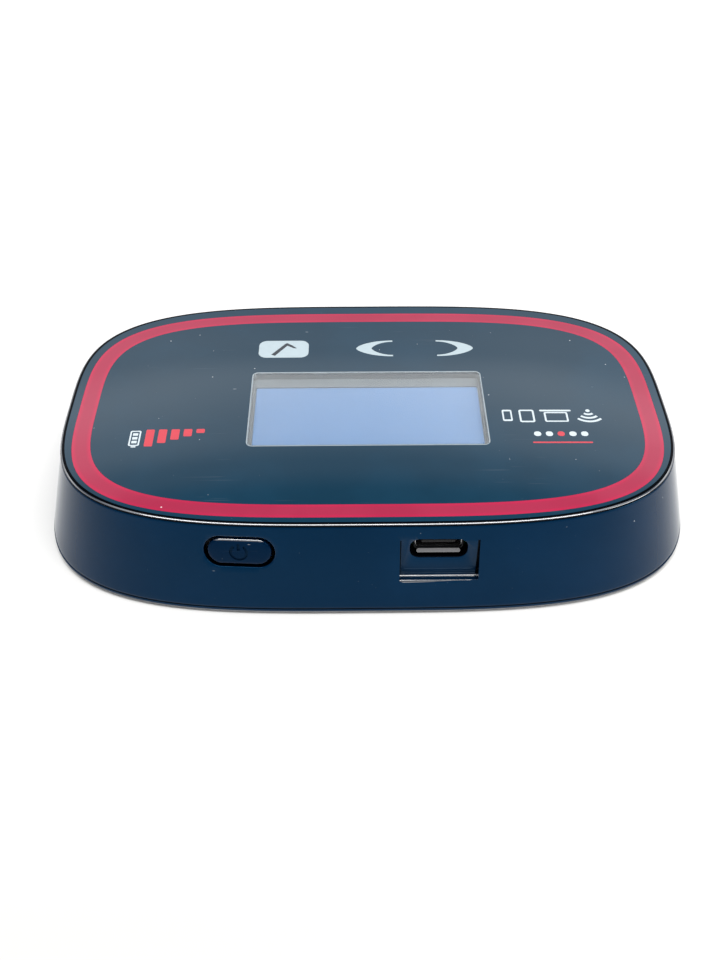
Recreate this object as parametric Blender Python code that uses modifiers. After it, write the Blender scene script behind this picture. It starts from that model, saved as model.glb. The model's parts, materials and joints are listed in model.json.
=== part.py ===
"""Mobile hotspot: a palm-sized battery-powered Wi-Fi router, as an assembly of separate pieces.

Frame: metres, +Z up, origin at the centre of the underside. +X is the long side,
-Y is the wall that carries the power button and the micro-USB socket.
"""

import math

import bmesh
import bpy
from mathutils import Matrix, Vector

MM = 0.001

# Overall form (millimetres)
LIP_A, LIP_B, LIP_N = 53.0, 32.2, 3.48  # widest outline, at the parting line
LIP_Z = 1.0
EDGE_A, EDGE_B, EDGE_N = 49.4, 28.6, 3.46  # outline of the top edge
FLARE = 0.2416  # how far the wall leans out for each mm down
HEIGHT = 16.4
CROWN = 0.40  # rise of the top face from its edge to its centre
OUTLINE_POINTS = 80

# Shell
WALL = 1.6
HOUSING_BOTTOM, HOUSING_TOP = 1.25, 14.98
RIM_TOP, RIM_WIDTH = 15.5, 1.0
CAVITY_TOP = 13.8
PLATE_BOTTOM = 15.18

# Accent ring: outer and inner outline (half length, half width, exponent)
RING_OUTER = (47.6, 26.5, 3.67)
RING_INNER = (44.7, 23.85, 3.79)
RING_Y = -0.6
RING_BOTTOM = 15.6
RING_CLEARANCE = 0.12

# Display window and touch keys
WINDOW_SIZE, WINDOW_CENTRE = (38.6, 18.85), (0.0, -1.57)
KEY_OK_SIZE, KEY_OK_CENTRE = (8.75, 5.1), (-14.45, 14.85)
KEY_TOP, KEY_BOTTOM = 16.24, 15.72
CHEVRON_LEFT_TIP, CHEVRON_RIGHT_TIP = -1.7, 18.9
CHEVRON_Y, CHEVRON_HALF = 14.9, 2.4
CHEVRON_LENGTH, CHEVRON_STROKE = 6.7, 2.75

# Power button, in the -Y wall
BUTTON_X, BUTTON_Z = -19.6, 11.1
BUTTON_HOLE = (10.7, 5.1)
BUTTON_CAP = (9.7, 4.3)
BUTTON_TRAVEL = 0.4

# Micro-USB socket and the flat recess round it, in the -Y wall
USB_X, USB_Z = 10.3, 11.7
USB_CUTOUT = (8.7, 3.2)
USB_SHELL = (7.5, 2.4, 5.2)
RECESS_FACE_Y = -29.2
RECESS_X = (4.46, 16.47)
RECESS_BOTTOM = 5.7

# Inside
FRAME_Z = (7.4, 8.4)
BOARD_Z = (9.3, 10.2)
BOARD_X, BOARD_Y = 40.5, (-26.2, 22.0)
BATTERY_SIZE, BATTERY_CENTRE = (60.0, 44.0, 5.4), (-3.5, 0.8, 4.05)
CONTACT_X = -4.5
SCREW_X, SCREW_Y = 44.8, 14.0
SIM_SIZE, SIM_CENTRE = (12.0, 15.0, 0.76), (39.0, -2.0, 5.58)

for old in list(bpy.data.objects):
    bpy.data.objects.remove(old, do_unlink=True)

scene = bpy.context.scene
parts = bpy.data.collections.new("mobile_hotspot")
cutters = bpy.data.collections.new("cutters")
scene.collection.children.link(parts)
scene.collection.children.link(cutters)


# ---------------------------------------------------------------- materials
def material(name, colour, roughness, metallic=0.0, transmission=0.0):
    made = bpy.data.materials.new(name)
    made.use_nodes = True
    shader = made.node_tree.nodes["Principled BSDF"]
    shader.inputs["Base Color"].default_value = (*colour, 1.0)
    shader.inputs["Roughness"].default_value = roughness
    shader.inputs["Metallic"].default_value = metallic
    shader.inputs["Transmission Weight"].default_value = transmission
    made.diffuse_color = (*colour, 1.0)
    return made


GLOSS_NAVY = material("gloss_navy_plastic", (0.008, 0.018, 0.04), 0.08)
GLOSS_BLACK = material("gloss_black_panel", (0.006, 0.01, 0.018), 0.05)
RED = material("translucent_red", (0.35, 0.012, 0.05), 0.2)
CLEAR = material("clear_window", (0.9, 0.93, 0.95), 0.03, 0.0, 1.0)
WHITE = material("white_icon", (0.8, 0.84, 0.88), 0.35)
SCREEN = material("display_glass", (0.3, 0.45, 0.75), 0.25)
STEEL = material("shield_steel", (0.6, 0.6, 0.58), 0.3, 1.0)
GOLD = material("gold_contact", (0.75, 0.55, 0.2), 0.25, 1.0)
COPPER = material("copper_flex", (0.5, 0.28, 0.08), 0.45, 0.3)
BOARD_GREEN = material("board_green", (0.015, 0.09, 0.05), 0.45)
FRAME_GREY = material("frame_grey", (0.09, 0.09, 0.095), 0.55)
FOAM = material("black_foam", (0.02, 0.02, 0.022), 0.9)
MILKY = material("milky_light_guide", (0.75, 0.77, 0.78), 0.4)
BACK_NAVY = material("back_cover_navy", (0.008, 0.014, 0.028), 0.35)
BATTERY_BLACK = material("battery_wrap", (0.03, 0.03, 0.032), 0.5)
SIM_WHITE = material("sim_card_white", (0.8, 0.8, 0.78), 0.4)


# ---------------------------------------------------------------- helpers
def add(name, data, where, finish=None):
    obj = bpy.data.objects.new(name, data)
    where.objects.link(obj)
    if finish:
        data.materials.append(finish)
    if where is cutters:
        obj.hide_render = True
        obj.display_type = "WIRE"
    return obj


def place(obj, x, y, z):
    obj.location = Vector((x, y, z)) * MM
    return obj


def new_mesh(name, build):
    mesh = bpy.data.meshes.new(name)
    work = bmesh.new()
    build(work)
    bmesh.ops.recalc_face_normals(work, faces=work.faces)
    work.to_mesh(mesh)
    work.free()
    return mesh


def smooth(obj, degrees=30):
    obj.data.shade_smooth()
    obj.data.set_sharp_from_angle(angle=math.radians(degrees))
    return obj


def superellipse(a, b, n, count=OUTLINE_POINTS):
    """Outline points at equal steps along the arc, with one point on each axis end."""
    fine = 400
    track = []
    for i in range(fine + 1):
        t = 0.5 * math.pi * i / fine
        track.append((a * math.cos(t) ** (2 / n) if i < fine else 0.0, b * math.sin(t) ** (2 / n)))
    run = [0.0]
    for p, q in zip(track, track[1:]):
        run.append(run[-1] + math.dist(p, q))
    quarter = []
    j = 0
    steps = count // 4
    for k in range(steps):
        goal = run[-1] * k / steps
        while run[j + 1] < goal:
            j += 1
        f = (goal - run[j]) / (run[j + 1] - run[j])
        quarter.append(tuple(track[j][i] * (1 - f) + track[j + 1][i] * f for i in (0, 1)))
    points = []
    for turn in range(4):
        for k in range(steps):
            x, y = quarter[k] if turn % 2 == 0 else ((0.0, b) if k == 0 else quarter[steps - k])
            points.append((x * (1, -1, -1, 1)[turn], y * (1, 1, -1, -1)[turn]))
    return points


def top_height(x, y):
    """Height of the crowned top face at a point."""
    r = (abs(x / EDGE_A) ** EDGE_N + abs(y / EDGE_B) ** EDGE_N) ** (1 / EDGE_N)
    return HEIGHT - CROWN * r**3


def loft(name, loops, where, finish=None, closed=False):
    """Skins a row of equal-length loops: capped at both ends, or joined round into a ring."""

    def build(work):
        rows = [[work.verts.new(Vector(p) * MM) for p in loop] for loop in loops]
        count = len(rows[0])
        pairs = list(zip(rows, rows[1:]))
        if closed:
            pairs.append((rows[-1], rows[0]))
        for low, high in pairs:
            for i in range(count):
                j = (i + 1) % count
                work.faces.new((low[i], low[j], high[j], high[i]))
        if not closed:
            work.faces.new(rows[0])
            work.faces.new(rows[-1])

    return smooth(add(name, new_mesh(name, build), where, finish))


def section(a, b, n, z, count=OUTLINE_POINTS):
    return [(x, y, z) for x, y in superellipse(a, b, n, count)]


def wall_section(z, inset=0.0, count=OUTLINE_POINTS):
    shrink = (z - LIP_Z) * FLARE + inset
    return section(LIP_A - shrink, LIP_B - shrink, LIP_N, z, count)


def box(name, size, centre, where, finish=None, bevel=0.0, segments=1):
    def build(work):
        bmesh.ops.create_cube(work, size=1.0)
        bmesh.ops.scale(work, vec=Vector(size) * MM, verts=work.verts)

    obj = place(add(name, new_mesh(name, build), where, finish), *centre)
    if bevel:
        rounded = obj.modifiers.new("edges", "BEVEL")
        rounded.width = bevel * MM
        rounded.segments = segments
        rounded.limit_method = "ANGLE"
    return obj


def rounded_rectangle(width, depth, radius, steps=5):
    points = []
    for corner, (sx, sy) in enumerate(((1, 1), (-1, 1), (-1, -1), (1, -1))):
        for k in range(steps + 1):
            angle = math.pi / 2 * (corner + k / steps)
            points.append(
                (
                    sx * (width / 2 - radius) + radius * math.cos(angle),
                    sy * (depth / 2 - radius) + radius * math.sin(angle),
                )
            )
    return points


def plate(name, outlines, thickness, centre, where, finish=None, upright=False):
    """A flat outline, with any holes, as a 2D curve extruded to its thickness and made a mesh.
    Upright plates stand in the XZ plane."""
    curve = bpy.data.curves.new(name, "CURVE")
    curve.dimensions = "2D"
    curve.fill_mode = "BOTH"
    curve.extrude = thickness / 2 * MM
    for outline in outlines:
        spline = curve.splines.new("POLY")
        spline.points.add(len(outline) - 1)
        for point, (x, y) in zip(spline.points, outline):
            point.co = (x * MM, y * MM, 0.0, 1.0)
        spline.use_cyclic_u = True
    guide = bpy.data.objects.new(name + "_outline", curve)
    cutters.objects.link(guide)
    bpy.context.view_layer.update()
    graph = bpy.context.evaluated_depsgraph_get()
    mesh = bpy.data.meshes.new_from_object(guide.evaluated_get(graph))
    work = bmesh.new()
    work.from_mesh(mesh)
    bmesh.ops.remove_doubles(work, verts=work.verts, dist=1e-7)
    bmesh.ops.recalc_face_normals(work, faces=work.faces)
    if upright:
        bmesh.ops.rotate(work, verts=work.verts, cent=(0, 0, 0), matrix=Matrix.Rotation(math.pi / 2, 3, "X"))
    work.to_mesh(mesh)
    work.free()
    mesh.name = name
    bpy.data.objects.remove(guide, do_unlink=True)
    mesh.materials.clear()
    return place(add(name, mesh, where, finish), *centre)


def cylinder(name, radius, low, high, x, y, where, finish=None, segments=20, axis="Z"):
    def build(work):
        bmesh.ops.create_cone(
            work,
            cap_ends=True,
            segments=segments,
            radius1=radius * MM,
            radius2=radius * MM,
            depth=(high - low) * MM,
        )
        if axis == "Y":
            bmesh.ops.rotate(work, verts=work.verts, cent=(0, 0, 0), matrix=Matrix.Rotation(math.pi / 2, 3, "X"))

    obj = add(name, new_mesh(name, build), where, finish)
    middle = (low + high) / 2
    # Along Z, x and y are given. Along Y, they are x and z.
    place(obj, *((x, y, middle) if axis == "Z" else (x, middle, y)))
    return smooth(obj)


def combine(obj, other, operation="DIFFERENCE"):
    step = obj.modifiers.new(other.name, "BOOLEAN")
    step.operation = operation
    step.solver = "EXACT"
    step.object = other
    return obj


def strip(points, thickness):
    """Outline of a thin band that follows a row of points."""
    left, right = [], []
    for i, (x, y) in enumerate(points):
        before = points[max(i - 1, 0)]
        after = points[min(i + 1, len(points) - 1)]
        dx, dy = after[0] - before[0], after[1] - before[1]
        length = math.hypot(dx, dy)
        nx, ny = -dy / length * thickness / 2, dx / length * thickness / 2
        left.append((x + nx, y + ny))
        right.append((x - nx, y - ny))
    return left + right[::-1]


def empty(name, x, y, z):
    obj = bpy.data.objects.new(name, None)
    obj.empty_display_size = 3 * MM
    parts.objects.link(obj)
    return place(obj, x, y, z)


def hang(obj, holder):
    """Parents a piece to an empty without moving it."""
    obj.location = obj.location - holder.location
    obj.parent = holder
    return obj


# ---------------------------------------------------------------- housing
housing = loft(
    "upper_housing",
    [
        wall_section(HOUSING_BOTTOM, 0.12),
        wall_section(HOUSING_BOTTOM + 0.2, 0.02),
        wall_section(HOUSING_BOTTOM + 0.6),
        wall_section(RIM_TOP - 0.06),
        wall_section(RIM_TOP, 0.05),
        wall_section(RIM_TOP, RIM_WIDTH),
        wall_section(HOUSING_TOP, RIM_WIDTH + (RIM_TOP - HOUSING_TOP) * FLARE),
    ],
    parts,
    GLOSS_NAVY,
)
cavity = loft("housing_cavity", [wall_section(0.2, WALL), wall_section(CAVITY_TOP, WALL)], cutters)
combine(housing, cavity)

inner_skin = loft("boss_limit", [wall_section(0.4, 0.35), wall_section(14.4, 0.35)], cutters)
usb_boss = box("usb_boss", (14.6, 6.0, 9.9), (USB_X, -30.3, 9.35), cutters)
combine(usb_boss, inner_skin, "INTERSECT")
combine(housing, usb_boss, "UNION")
for i, (sx, sy) in enumerate(((1, 1), (-1, 1), (-1, -1), (1, -1))):
    boss = cylinder(f"screw_boss_{i + 1}", 2.2, 8.7, 14.2, sx * SCREW_X, sy * SCREW_Y, cutters)
    combine(housing, boss, "UNION")
    pilot = cylinder(f"screw_pilot_{i + 1}", 1.1, 8.0, 12.6, sx * SCREW_X, sy * SCREW_Y, cutters, segments=12)
    combine(housing, pilot)
deck_opening = plate("deck_opening", [rounded_rectangle(49.0, 35.4, 2.0)], 4.0, (0.0, 1.8, 14.4), cutters)
combine(housing, deck_opening)
recess = box(
    "usb_recess",
    (RECESS_X[1] - RECESS_X[0], 8.0, 16.0 - RECESS_BOTTOM),
    ((RECESS_X[0] + RECESS_X[1]) / 2, RECESS_FACE_Y - 4.0, (16.0 + RECESS_BOTTOM) / 2),
    cutters,
)
combine(housing, recess)
port = plate("usb_cutout", [rounded_rectangle(*USB_CUTOUT, 1.35)], 6.0, (USB_X, -28.6, USB_Z), cutters, upright=True)
combine(housing, port)
button_hole = plate(
    "button_hole", [rounded_rectangle(*BUTTON_HOLE, BUTTON_HOLE[1] / 2 - 0.01, 7)], 8.0, (BUTTON_X, -29.0, BUTTON_Z), cutters, upright=True
)
combine(housing, button_hole)
pry_slot = box("pry_slot", (12.0, 4.0, 1.5), (0.0, 32.2, 1.45), cutters)
combine(housing, pry_slot)

# ---------------------------------------------------------------- top panel
# The rim of the plate laps over the housing's raised rim
edge_rows = [(1.5, PLATE_BOTTOM), (1.25, 15.36), (1.25, 15.66), (0.08, 15.66), (0.0, 15.73), (0.0, 15.8), (0.1, 15.93), (0.35, 16.0), (0.8, 16.02)]
plate_loops = [section(EDGE_A + 0.12 - i, EDGE_B + 0.12 - i, EDGE_N, z) for i, z in edge_rows]
for share in (0.93, 0.8, 0.6, 0.35):
    loop = superellipse(EDGE_A * share, EDGE_B * share, EDGE_N)
    plate_loops.append([(x, y, top_height(x, y)) for x, y in loop])
top_plate = loft("top_plate", plate_loops, parts, GLOSS_BLACK)


def ring_loops(outer, inner, low, high=None):
    rows = []
    for shape, at in ((outer, "low"), (outer, "high"), (inner, "high"), (inner, "low")):
        loop = [(x, y + RING_Y) for x, y in superellipse(*shape)]
        rows.append([(x, y, low if at == "low" else (high or top_height(x, y) - 0.02)) for x, y in loop])
    return rows


groove = loft(
    "ring_groove",
    ring_loops(
        (RING_OUTER[0] + RING_CLEARANCE, RING_OUTER[1] + RING_CLEARANCE, RING_OUTER[2]),
        (RING_INNER[0] - RING_CLEARANCE, RING_INNER[1] - RING_CLEARANCE, RING_INNER[2]),
        RING_BOTTOM - 0.12,
        17.5,
    ),
    cutters,
    closed=True,
)
combine(top_plate, groove)
loft("accent_ring", ring_loops(RING_OUTER, RING_INNER, RING_BOTTOM), parts, RED, closed=True)

window_gap = 0.15
window_hole = plate(
    "window_hole",
    [rounded_rectangle(WINDOW_SIZE[0] + 2 * window_gap, WINDOW_SIZE[1] + 2 * window_gap, 0.8, 3)],
    4.0,
    (*WINDOW_CENTRE, 16.0),
    cutters,
)
combine(top_plate, window_hole)
plate("window_lens", [rounded_rectangle(*WINDOW_SIZE, 0.65, 3)], 1.0, (*WINDOW_CENTRE, 15.83), parts, CLEAR)


def chevron(tip, grow=0.0):
    """A crescent that points along X, with a hollow back."""
    steps = 14
    points = []
    for k in range(steps + 1):
        v = 2 * k / steps - 1
        y = math.copysign((CHEVRON_HALF + grow) * (1 - (1 - v * v) ** 2) ** 0.625, v)
        points.append(((CHEVRON_LENGTH + 2 * grow) * v * v - grow, y))
    for k in range(steps + 1):
        v = 1 - 2 * k / steps
        y = math.copysign(0.9 * CHEVRON_HALF * (1 - (1 - v * v) ** 2) ** 0.7, v)
        points.append((CHEVRON_STROKE + 1.5 * grow + (CHEVRON_LENGTH - CHEVRON_STROKE - 0.5 * grow) * v * v, y))
    if tip < 8:
        return [(tip + x, CHEVRON_Y + y) for x, y in points]
    return [(tip - x, CHEVRON_Y + y) for x, y in points[::-1]]


key_thick = KEY_TOP - KEY_BOTTOM
key_mid = (KEY_TOP + KEY_BOTTOM) / 2
for name, outline, pocket, centre in (
    ("key_ok", rounded_rectangle(*KEY_OK_SIZE, 1.0, 4), rounded_rectangle(KEY_OK_SIZE[0] + 0.3, KEY_OK_SIZE[1] + 0.3, 1.15, 4), KEY_OK_CENTRE),
    ("key_back", chevron(CHEVRON_LEFT_TIP), chevron(CHEVRON_LEFT_TIP, 0.15), (0.0, 0.0)),
    ("key_forward", chevron(CHEVRON_RIGHT_TIP), chevron(CHEVRON_RIGHT_TIP, 0.15), (0.0, 0.0)),
):
    pocket_cutter = plate(name + "_pocket", [pocket], 2.0, (*centre, KEY_BOTTOM - 0.12 + 1.0), cutters)
    combine(top_plate, pocket_cutter)
    plate(name, [outline], key_thick, (*centre, key_mid), parts, WHITE)

# ---------------------------------------------------------------- display and touch keys, under the panel
plate("touch_sensor_flex", [rounded_rectangle(43.6, 6.0, 0.8, 3)], 0.2, (0.0, 15.75, 14.85), parts, COPPER)
box("key_light_guide", (42.0, 5.8, 1.2), (0.0, 15.75, 13.95), parts, MILKY, 0.25)
LCD_Y = -1.2
plate("lcd_gasket", [rounded_rectangle(45.6, 26.6, 1.0, 3), rounded_rectangle(41.4, 22.0, 0.8, 3)], 0.24, (0.0, LCD_Y, 14.96), parts, FOAM)
plate("lcd_bezel", [rounded_rectangle(45.6, 26.6, 1.0, 3), rounded_rectangle(41.0, 21.6, 0.6, 3)], 0.3, (0.0, LCD_Y, 14.6), parts, STEEL)
box("lcd_glass", (44.0, 25.0, 1.0), (0.0, LCD_Y, 13.85), parts, SCREEN, 0.12)
box("lcd_backlight", (46.0, 26.8, 1.3), (0.0, LCD_Y, 12.55), parts, MILKY, 0.25)
bend = [(23.4, 12.6), (24.0, 12.6)]
for k in range(9):
    angle = math.pi / 2 - math.pi * k / 8
    bend.append((24.4 + 1.0 * math.cos(angle), 11.6 + 1.0 * math.sin(angle)))
bend += [(23.6, 10.6), (21.5, 10.6)]
plate("lcd_flex", [strip(bend, 0.2)], 8.0, (0.0, -8.0, 0.0), parts, COPPER, upright=True)

# ---------------------------------------------------------------- main board and what it carries
board_depth = BOARD_Y[1] - BOARD_Y[0]
board_mid = (BOARD_Y[0] + BOARD_Y[1]) / 2
board = plate("main_board", [rounded_rectangle(2 * BOARD_X, board_depth, 14.0, 6)], BOARD_Z[1] - BOARD_Z[0], (0.0, board_mid, sum(BOARD_Z) / 2), parts, BOARD_GREEN)
combine(board, box("board_button_notch", (15.0, 4.0, 3.0), (BUTTON_X, -27.0, 9.75), cutters))
box("baseband_shield", (26.0, 20.0, 1.1), (-12.0, 8.0, 11.05), parts, STEEL, 0.25)
box("rf_shield", (24.0, 18.0, 1.1), (17.5, 9.0, 11.05), parts, STEEL, 0.25)
box("wifi_shield", (11.0, 12.0, 1.6), (33.0, -10.0, 11.3), parts, STEEL, 0.25)

shell_mid_y = -28.9 + USB_SHELL[2] / 2
usb_shell = plate("micro_usb_shell", [rounded_rectangle(USB_SHELL[0], USB_SHELL[1], 0.7, 4)], USB_SHELL[2], (USB_X, shell_mid_y, USB_Z), parts, STEEL, upright=True)
usb_mouth = plate("usb_mouth", [rounded_rectangle(6.9, 1.8, 0.5, 4)], 5.0, (USB_X, -28.9 + 2.1, USB_Z), cutters, upright=True)
combine(usb_shell, usb_mouth)
box("micro_usb_tongue", (5.2, 3.4, 0.6), (USB_X, -26.4, USB_Z + 0.15), parts, FOAM, 0.12)

switch = box("power_switch", (4.6, 3.0, 1.9), (BUTTON_X, -22.9, 11.4), parts, STEEL, 0.15)
combine(switch, cylinder("switch_plunger", 0.8, -24.7, -23.6, BUTTON_X, 11.35, cutters, segments=14, axis="Y"), "UNION")
box("wifi_antenna", (12.0, 2.0, 2.2), (-28.0, 20.2, 11.6), parts, GOLD, 0.2)

for side, name, foil in ((-1, "antenna_carrier_left", "main_antenna"), (1, "antenna_carrier_right", "diversity_antenna")):
    box(name, (5.0, 21.0, 3.7), (side * 44.7, 0.0, 11.05), parts, FRAME_GREY, 0.3)
    path = []
    for k in range(5):
        y = -8.8 + 4.4 * k
        path += [(-1.6, y), (1.6, y)] if k % 2 == 0 else [(1.6, y), (-1.6, y)]
    plate(foil, [strip(path, 0.9)], 0.2, (side * 44.7, 0.0, 13.2), parts, COPPER)

# ---------------------------------------------------------------- mid frame and battery bay
mid_frame = loft("mid_frame", [section(49.0, 28.2, LIP_N, FRAME_Z[0], 48), section(49.0, 28.2, LIP_N, FRAME_Z[1], 48)], parts, FRAME_GREY)
bay_inner = (61.2, 45.2)
bay_centre = (-3.5, 0.8)
bay = plate(
    "bay_wall",
    [rounded_rectangle(bay_inner[0] + 2.4, bay_inner[1] + 2.4, 1.6, 3), rounded_rectangle(*bay_inner, 0.8, 3)],
    5.9,
    (*bay_centre, 4.85),
    cutters,
)
combine(mid_frame, bay, "UNION")
for i, (sx, sy) in enumerate(((1, 1), (-1, 1), (-1, -1), (1, -1))):
    standoff = cylinder(f"board_standoff_{i + 1}", 1.8, 8.1, 9.0, sx * 36.0, sy * 12.0, cutters, segments=14)
    combine(mid_frame, standoff, "UNION")
    combine(mid_frame, cylinder(f"frame_hole_{i + 1}", 1.2, 7.0, 9.0, sx * SCREW_X, sy * SCREW_Y, cutters, segments=14))
combine(mid_frame, box("frame_usb_notch", (15.8, 6.0, 3.0), (USB_X, -29.9, 7.9), cutters))
combine(mid_frame, box("frame_contact_slot", (12.2, 6.4, 8.0), (CONTACT_X, -23.8, 5.2), cutters))
combine(mid_frame, box("frame_sim_slot", (10.4, 9.4, 3.0), (39.0, -3.0, 7.9), cutters))

box("battery_contact_block", (11.0, 3.8, 6.3), (CONTACT_X, -24.5, 5.8), parts, FOAM, 0.2)
for k in range(4):
    x = CONTACT_X + (k - 1.5) * 2.5
    leaf = [(-22.4, 6.2), (-22.1, 6.2), (-21.6, 5.7), (-21.42, 4.9), (-21.6, 4.1), (-22.1, 3.6), (-22.4, 3.6)]
    obj = plate(f"battery_contact_{k + 1}", [strip(leaf, 0.18)], 1.2, (0.0, 0.0, 0.0), parts, GOLD, upright=True)
    # The profile lies in the YZ plane, so the strip is turned to run across X.
    obj.rotation_euler = (0.0, 0.0, math.pi / 2)
    place(obj, x, 0.0, 0.0)

sim_cage = box("sim_holder", (13.8, 13.5, 2.1), (SIM_CENTRE[0], -3.2, 5.6), parts, STEEL)
combine(sim_cage, box("sim_slot", (12.7, 15.0, 1.25), (SIM_CENTRE[0], -3.2, SIM_CENTRE[2]), cutters))
combine(sim_cage, box("sim_window", (9.0, 15.0, 1.4), (SIM_CENTRE[0], -3.2, 4.6), cutters))
box("sim_contact_block", (9.6, 8.6, 2.0), (39.0, -3.0, 8.0), parts, FOAM, 0.2)


def screw(name, x, y):
    """A pan-head screw, head down, as a turned profile."""
    profile = [(0.0, 11.9), (0.5, 11.9), (0.8, 11.6), (0.8, 7.15), (1.8, 7.15), (1.8, 6.75), (1.5, 6.5), (0.0, 6.5)]

    def build(work):
        made = [work.verts.new(Vector((r, 0.0, z - 6.5)) * MM) for r, z in profile]
        for p, q in zip(made, made[1:]):
            work.edges.new((p, q))

    obj = place(add(name, new_mesh(name, build), parts, STEEL), x, y, 6.5)
    turn = obj.modifiers.new("turn", "SCREW")
    turn.axis = "Z"
    turn.steps = turn.render_steps = 14
    turn.use_merge_vertices = True
    turn.merge_threshold = 0.00001
    return obj


for i, (sx, sy) in enumerate(((1, 1), (-1, 1), (-1, -1), (1, -1))):
    screw(f"chassis_screw_{i + 1}", sx * SCREW_X, sy * SCREW_Y)

# ---------------------------------------------------------------- power button, on its slide
button_axis = empty("power_button_slide", BUTTON_X, -29.5, BUTTON_Z)
cap = plate(
    "power_button", [rounded_rectangle(*BUTTON_CAP, BUTTON_CAP[1] / 2 - 0.01, 6)], 6.0, (BUTTON_X, -29.2, BUTTON_Z), parts, GLOSS_NAVY, upright=True
)
cap_limit = loft("cap_limit", [wall_section(0.4, 0.02), wall_section(14.8, 0.02)], cutters)
combine(cap, cap_limit, "INTERSECT")
flange = box("button_flange", (12.4, 0.6, 4.1), (BUTTON_X, -26.2, 10.85), cutters)
combine(cap, flange, "UNION")
stem = cylinder("button_stem", 0.9, -26.2, -25.2, BUTTON_X, 11.35, cutters, segments=14, axis="Y")
combine(cap, stem, "UNION")
hang(cap, button_axis)

# ---------------------------------------------------------------- battery, on its slide
battery_axis = empty("battery_slide", *BATTERY_CENTRE)
pack = box("battery_pack", BATTERY_SIZE, BATTERY_CENTRE, parts, BATTERY_BLACK, 0.8, 2)
combine(pack, box("terminal_pocket", (12.0, 2.0, 3.6), (CONTACT_X, -21.4, 4.9), cutters))
hang(pack, battery_axis)
hang(box("battery_terminal_board", (11.2, 0.4, 2.8), (CONTACT_X, -20.9, 4.9), parts, GOLD, 0.08), battery_axis)

# ---------------------------------------------------------------- SIM card, on its slide
sim_axis = empty("sim_card_slide", *SIM_CENTRE)
half_w, half_d, notch = SIM_SIZE[0] / 2, SIM_SIZE[1] / 2, 2.2
card = [(-half_w, -half_d), (half_w, -half_d), (half_w, half_d - notch), (half_w - notch, half_d), (-half_w, half_d)]
hang(plate("sim_card", [card], SIM_SIZE[2], SIM_CENTRE, parts, SIM_WHITE), sim_axis)

# ---------------------------------------------------------------- battery cover, on its slide
cover_axis = empty("battery_cover_slide", 0.0, 0.0, 0.0)
cover_rows = [(1.0, 0.0), (0.55, 0.12), (0.22, 0.38), (0.04, 0.72), (0.0, LIP_Z), (0.1, 1.05)]
cover = loft("battery_cover", [section(LIP_A - i, LIP_B - i, LIP_N, z) for i, z in cover_rows], parts, BACK_NAVY)
rim = loft(
    "cover_rim",
    [
        section(50.6, 29.8, LIP_N, 0.6, 48),
        section(50.6, 29.8, LIP_N, 2.6, 48),
        section(49.6, 28.8, LIP_N, 2.6, 48),
        section(49.6, 28.8, LIP_N, 0.6, 48),
    ],
    cutters,
    closed=True,
)
combine(cover, rim, "UNION")
for i, (x, sy) in enumerate(((20.0, 1), (-20.0, 1), (-20.0, -1), (20.0, -1))):
    tab = box(f"snap_tab_{i + 1}", (6.0, 1.0, 0.7), (x, sy * 29.25, 2.05), cutters)
    combine(cover, tab, "UNION")
hang(cover, cover_axis)
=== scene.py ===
import json
import math

import bmesh
import bpy
from mathutils import Matrix, Vector


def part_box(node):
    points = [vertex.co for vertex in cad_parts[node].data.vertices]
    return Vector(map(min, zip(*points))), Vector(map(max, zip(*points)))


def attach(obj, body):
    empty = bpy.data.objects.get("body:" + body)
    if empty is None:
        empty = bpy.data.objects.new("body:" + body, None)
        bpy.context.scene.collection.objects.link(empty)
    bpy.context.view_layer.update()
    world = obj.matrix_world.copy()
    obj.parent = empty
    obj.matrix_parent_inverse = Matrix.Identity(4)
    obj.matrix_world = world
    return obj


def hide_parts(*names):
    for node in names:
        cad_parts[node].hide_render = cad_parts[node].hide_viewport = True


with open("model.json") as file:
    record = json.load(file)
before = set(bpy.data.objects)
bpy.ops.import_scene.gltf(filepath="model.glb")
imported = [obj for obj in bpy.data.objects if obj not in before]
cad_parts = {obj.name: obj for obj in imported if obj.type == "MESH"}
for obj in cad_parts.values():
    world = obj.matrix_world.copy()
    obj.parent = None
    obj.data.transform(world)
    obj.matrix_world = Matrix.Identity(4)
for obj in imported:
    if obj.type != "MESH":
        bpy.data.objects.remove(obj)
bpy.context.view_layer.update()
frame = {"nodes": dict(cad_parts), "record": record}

MM = 0.001
scene = bpy.context.scene
nodes_of = frame["nodes"]


def box_mm(node):
    low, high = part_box(node)
    return [v / MM for v in low], [v / MM for v in high]


# ------------------------------------------------------------------ sizes, read from the frame
cover_low, cover_high = box_mm("battery_cover")
plate_low, plate_high = box_mm("top_plate")
ring_low, ring_high = box_mm("accent_ring")
lens_low, lens_high = box_mm("window_lens")
ok_low, ok_high = box_mm("key_ok")
back_low, back_high = box_mm("key_back")
fore_low, fore_high = box_mm("key_forward")
shell_low, shell_high = box_mm("upper_housing")
button_low, button_high = box_mm("power_button")
usb_low, usb_high = box_mm("micro_usb_shell")
glass_low, glass_high = box_mm("lcd_glass")
bezel_low, bezel_high = box_mm("lcd_bezel")

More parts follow.
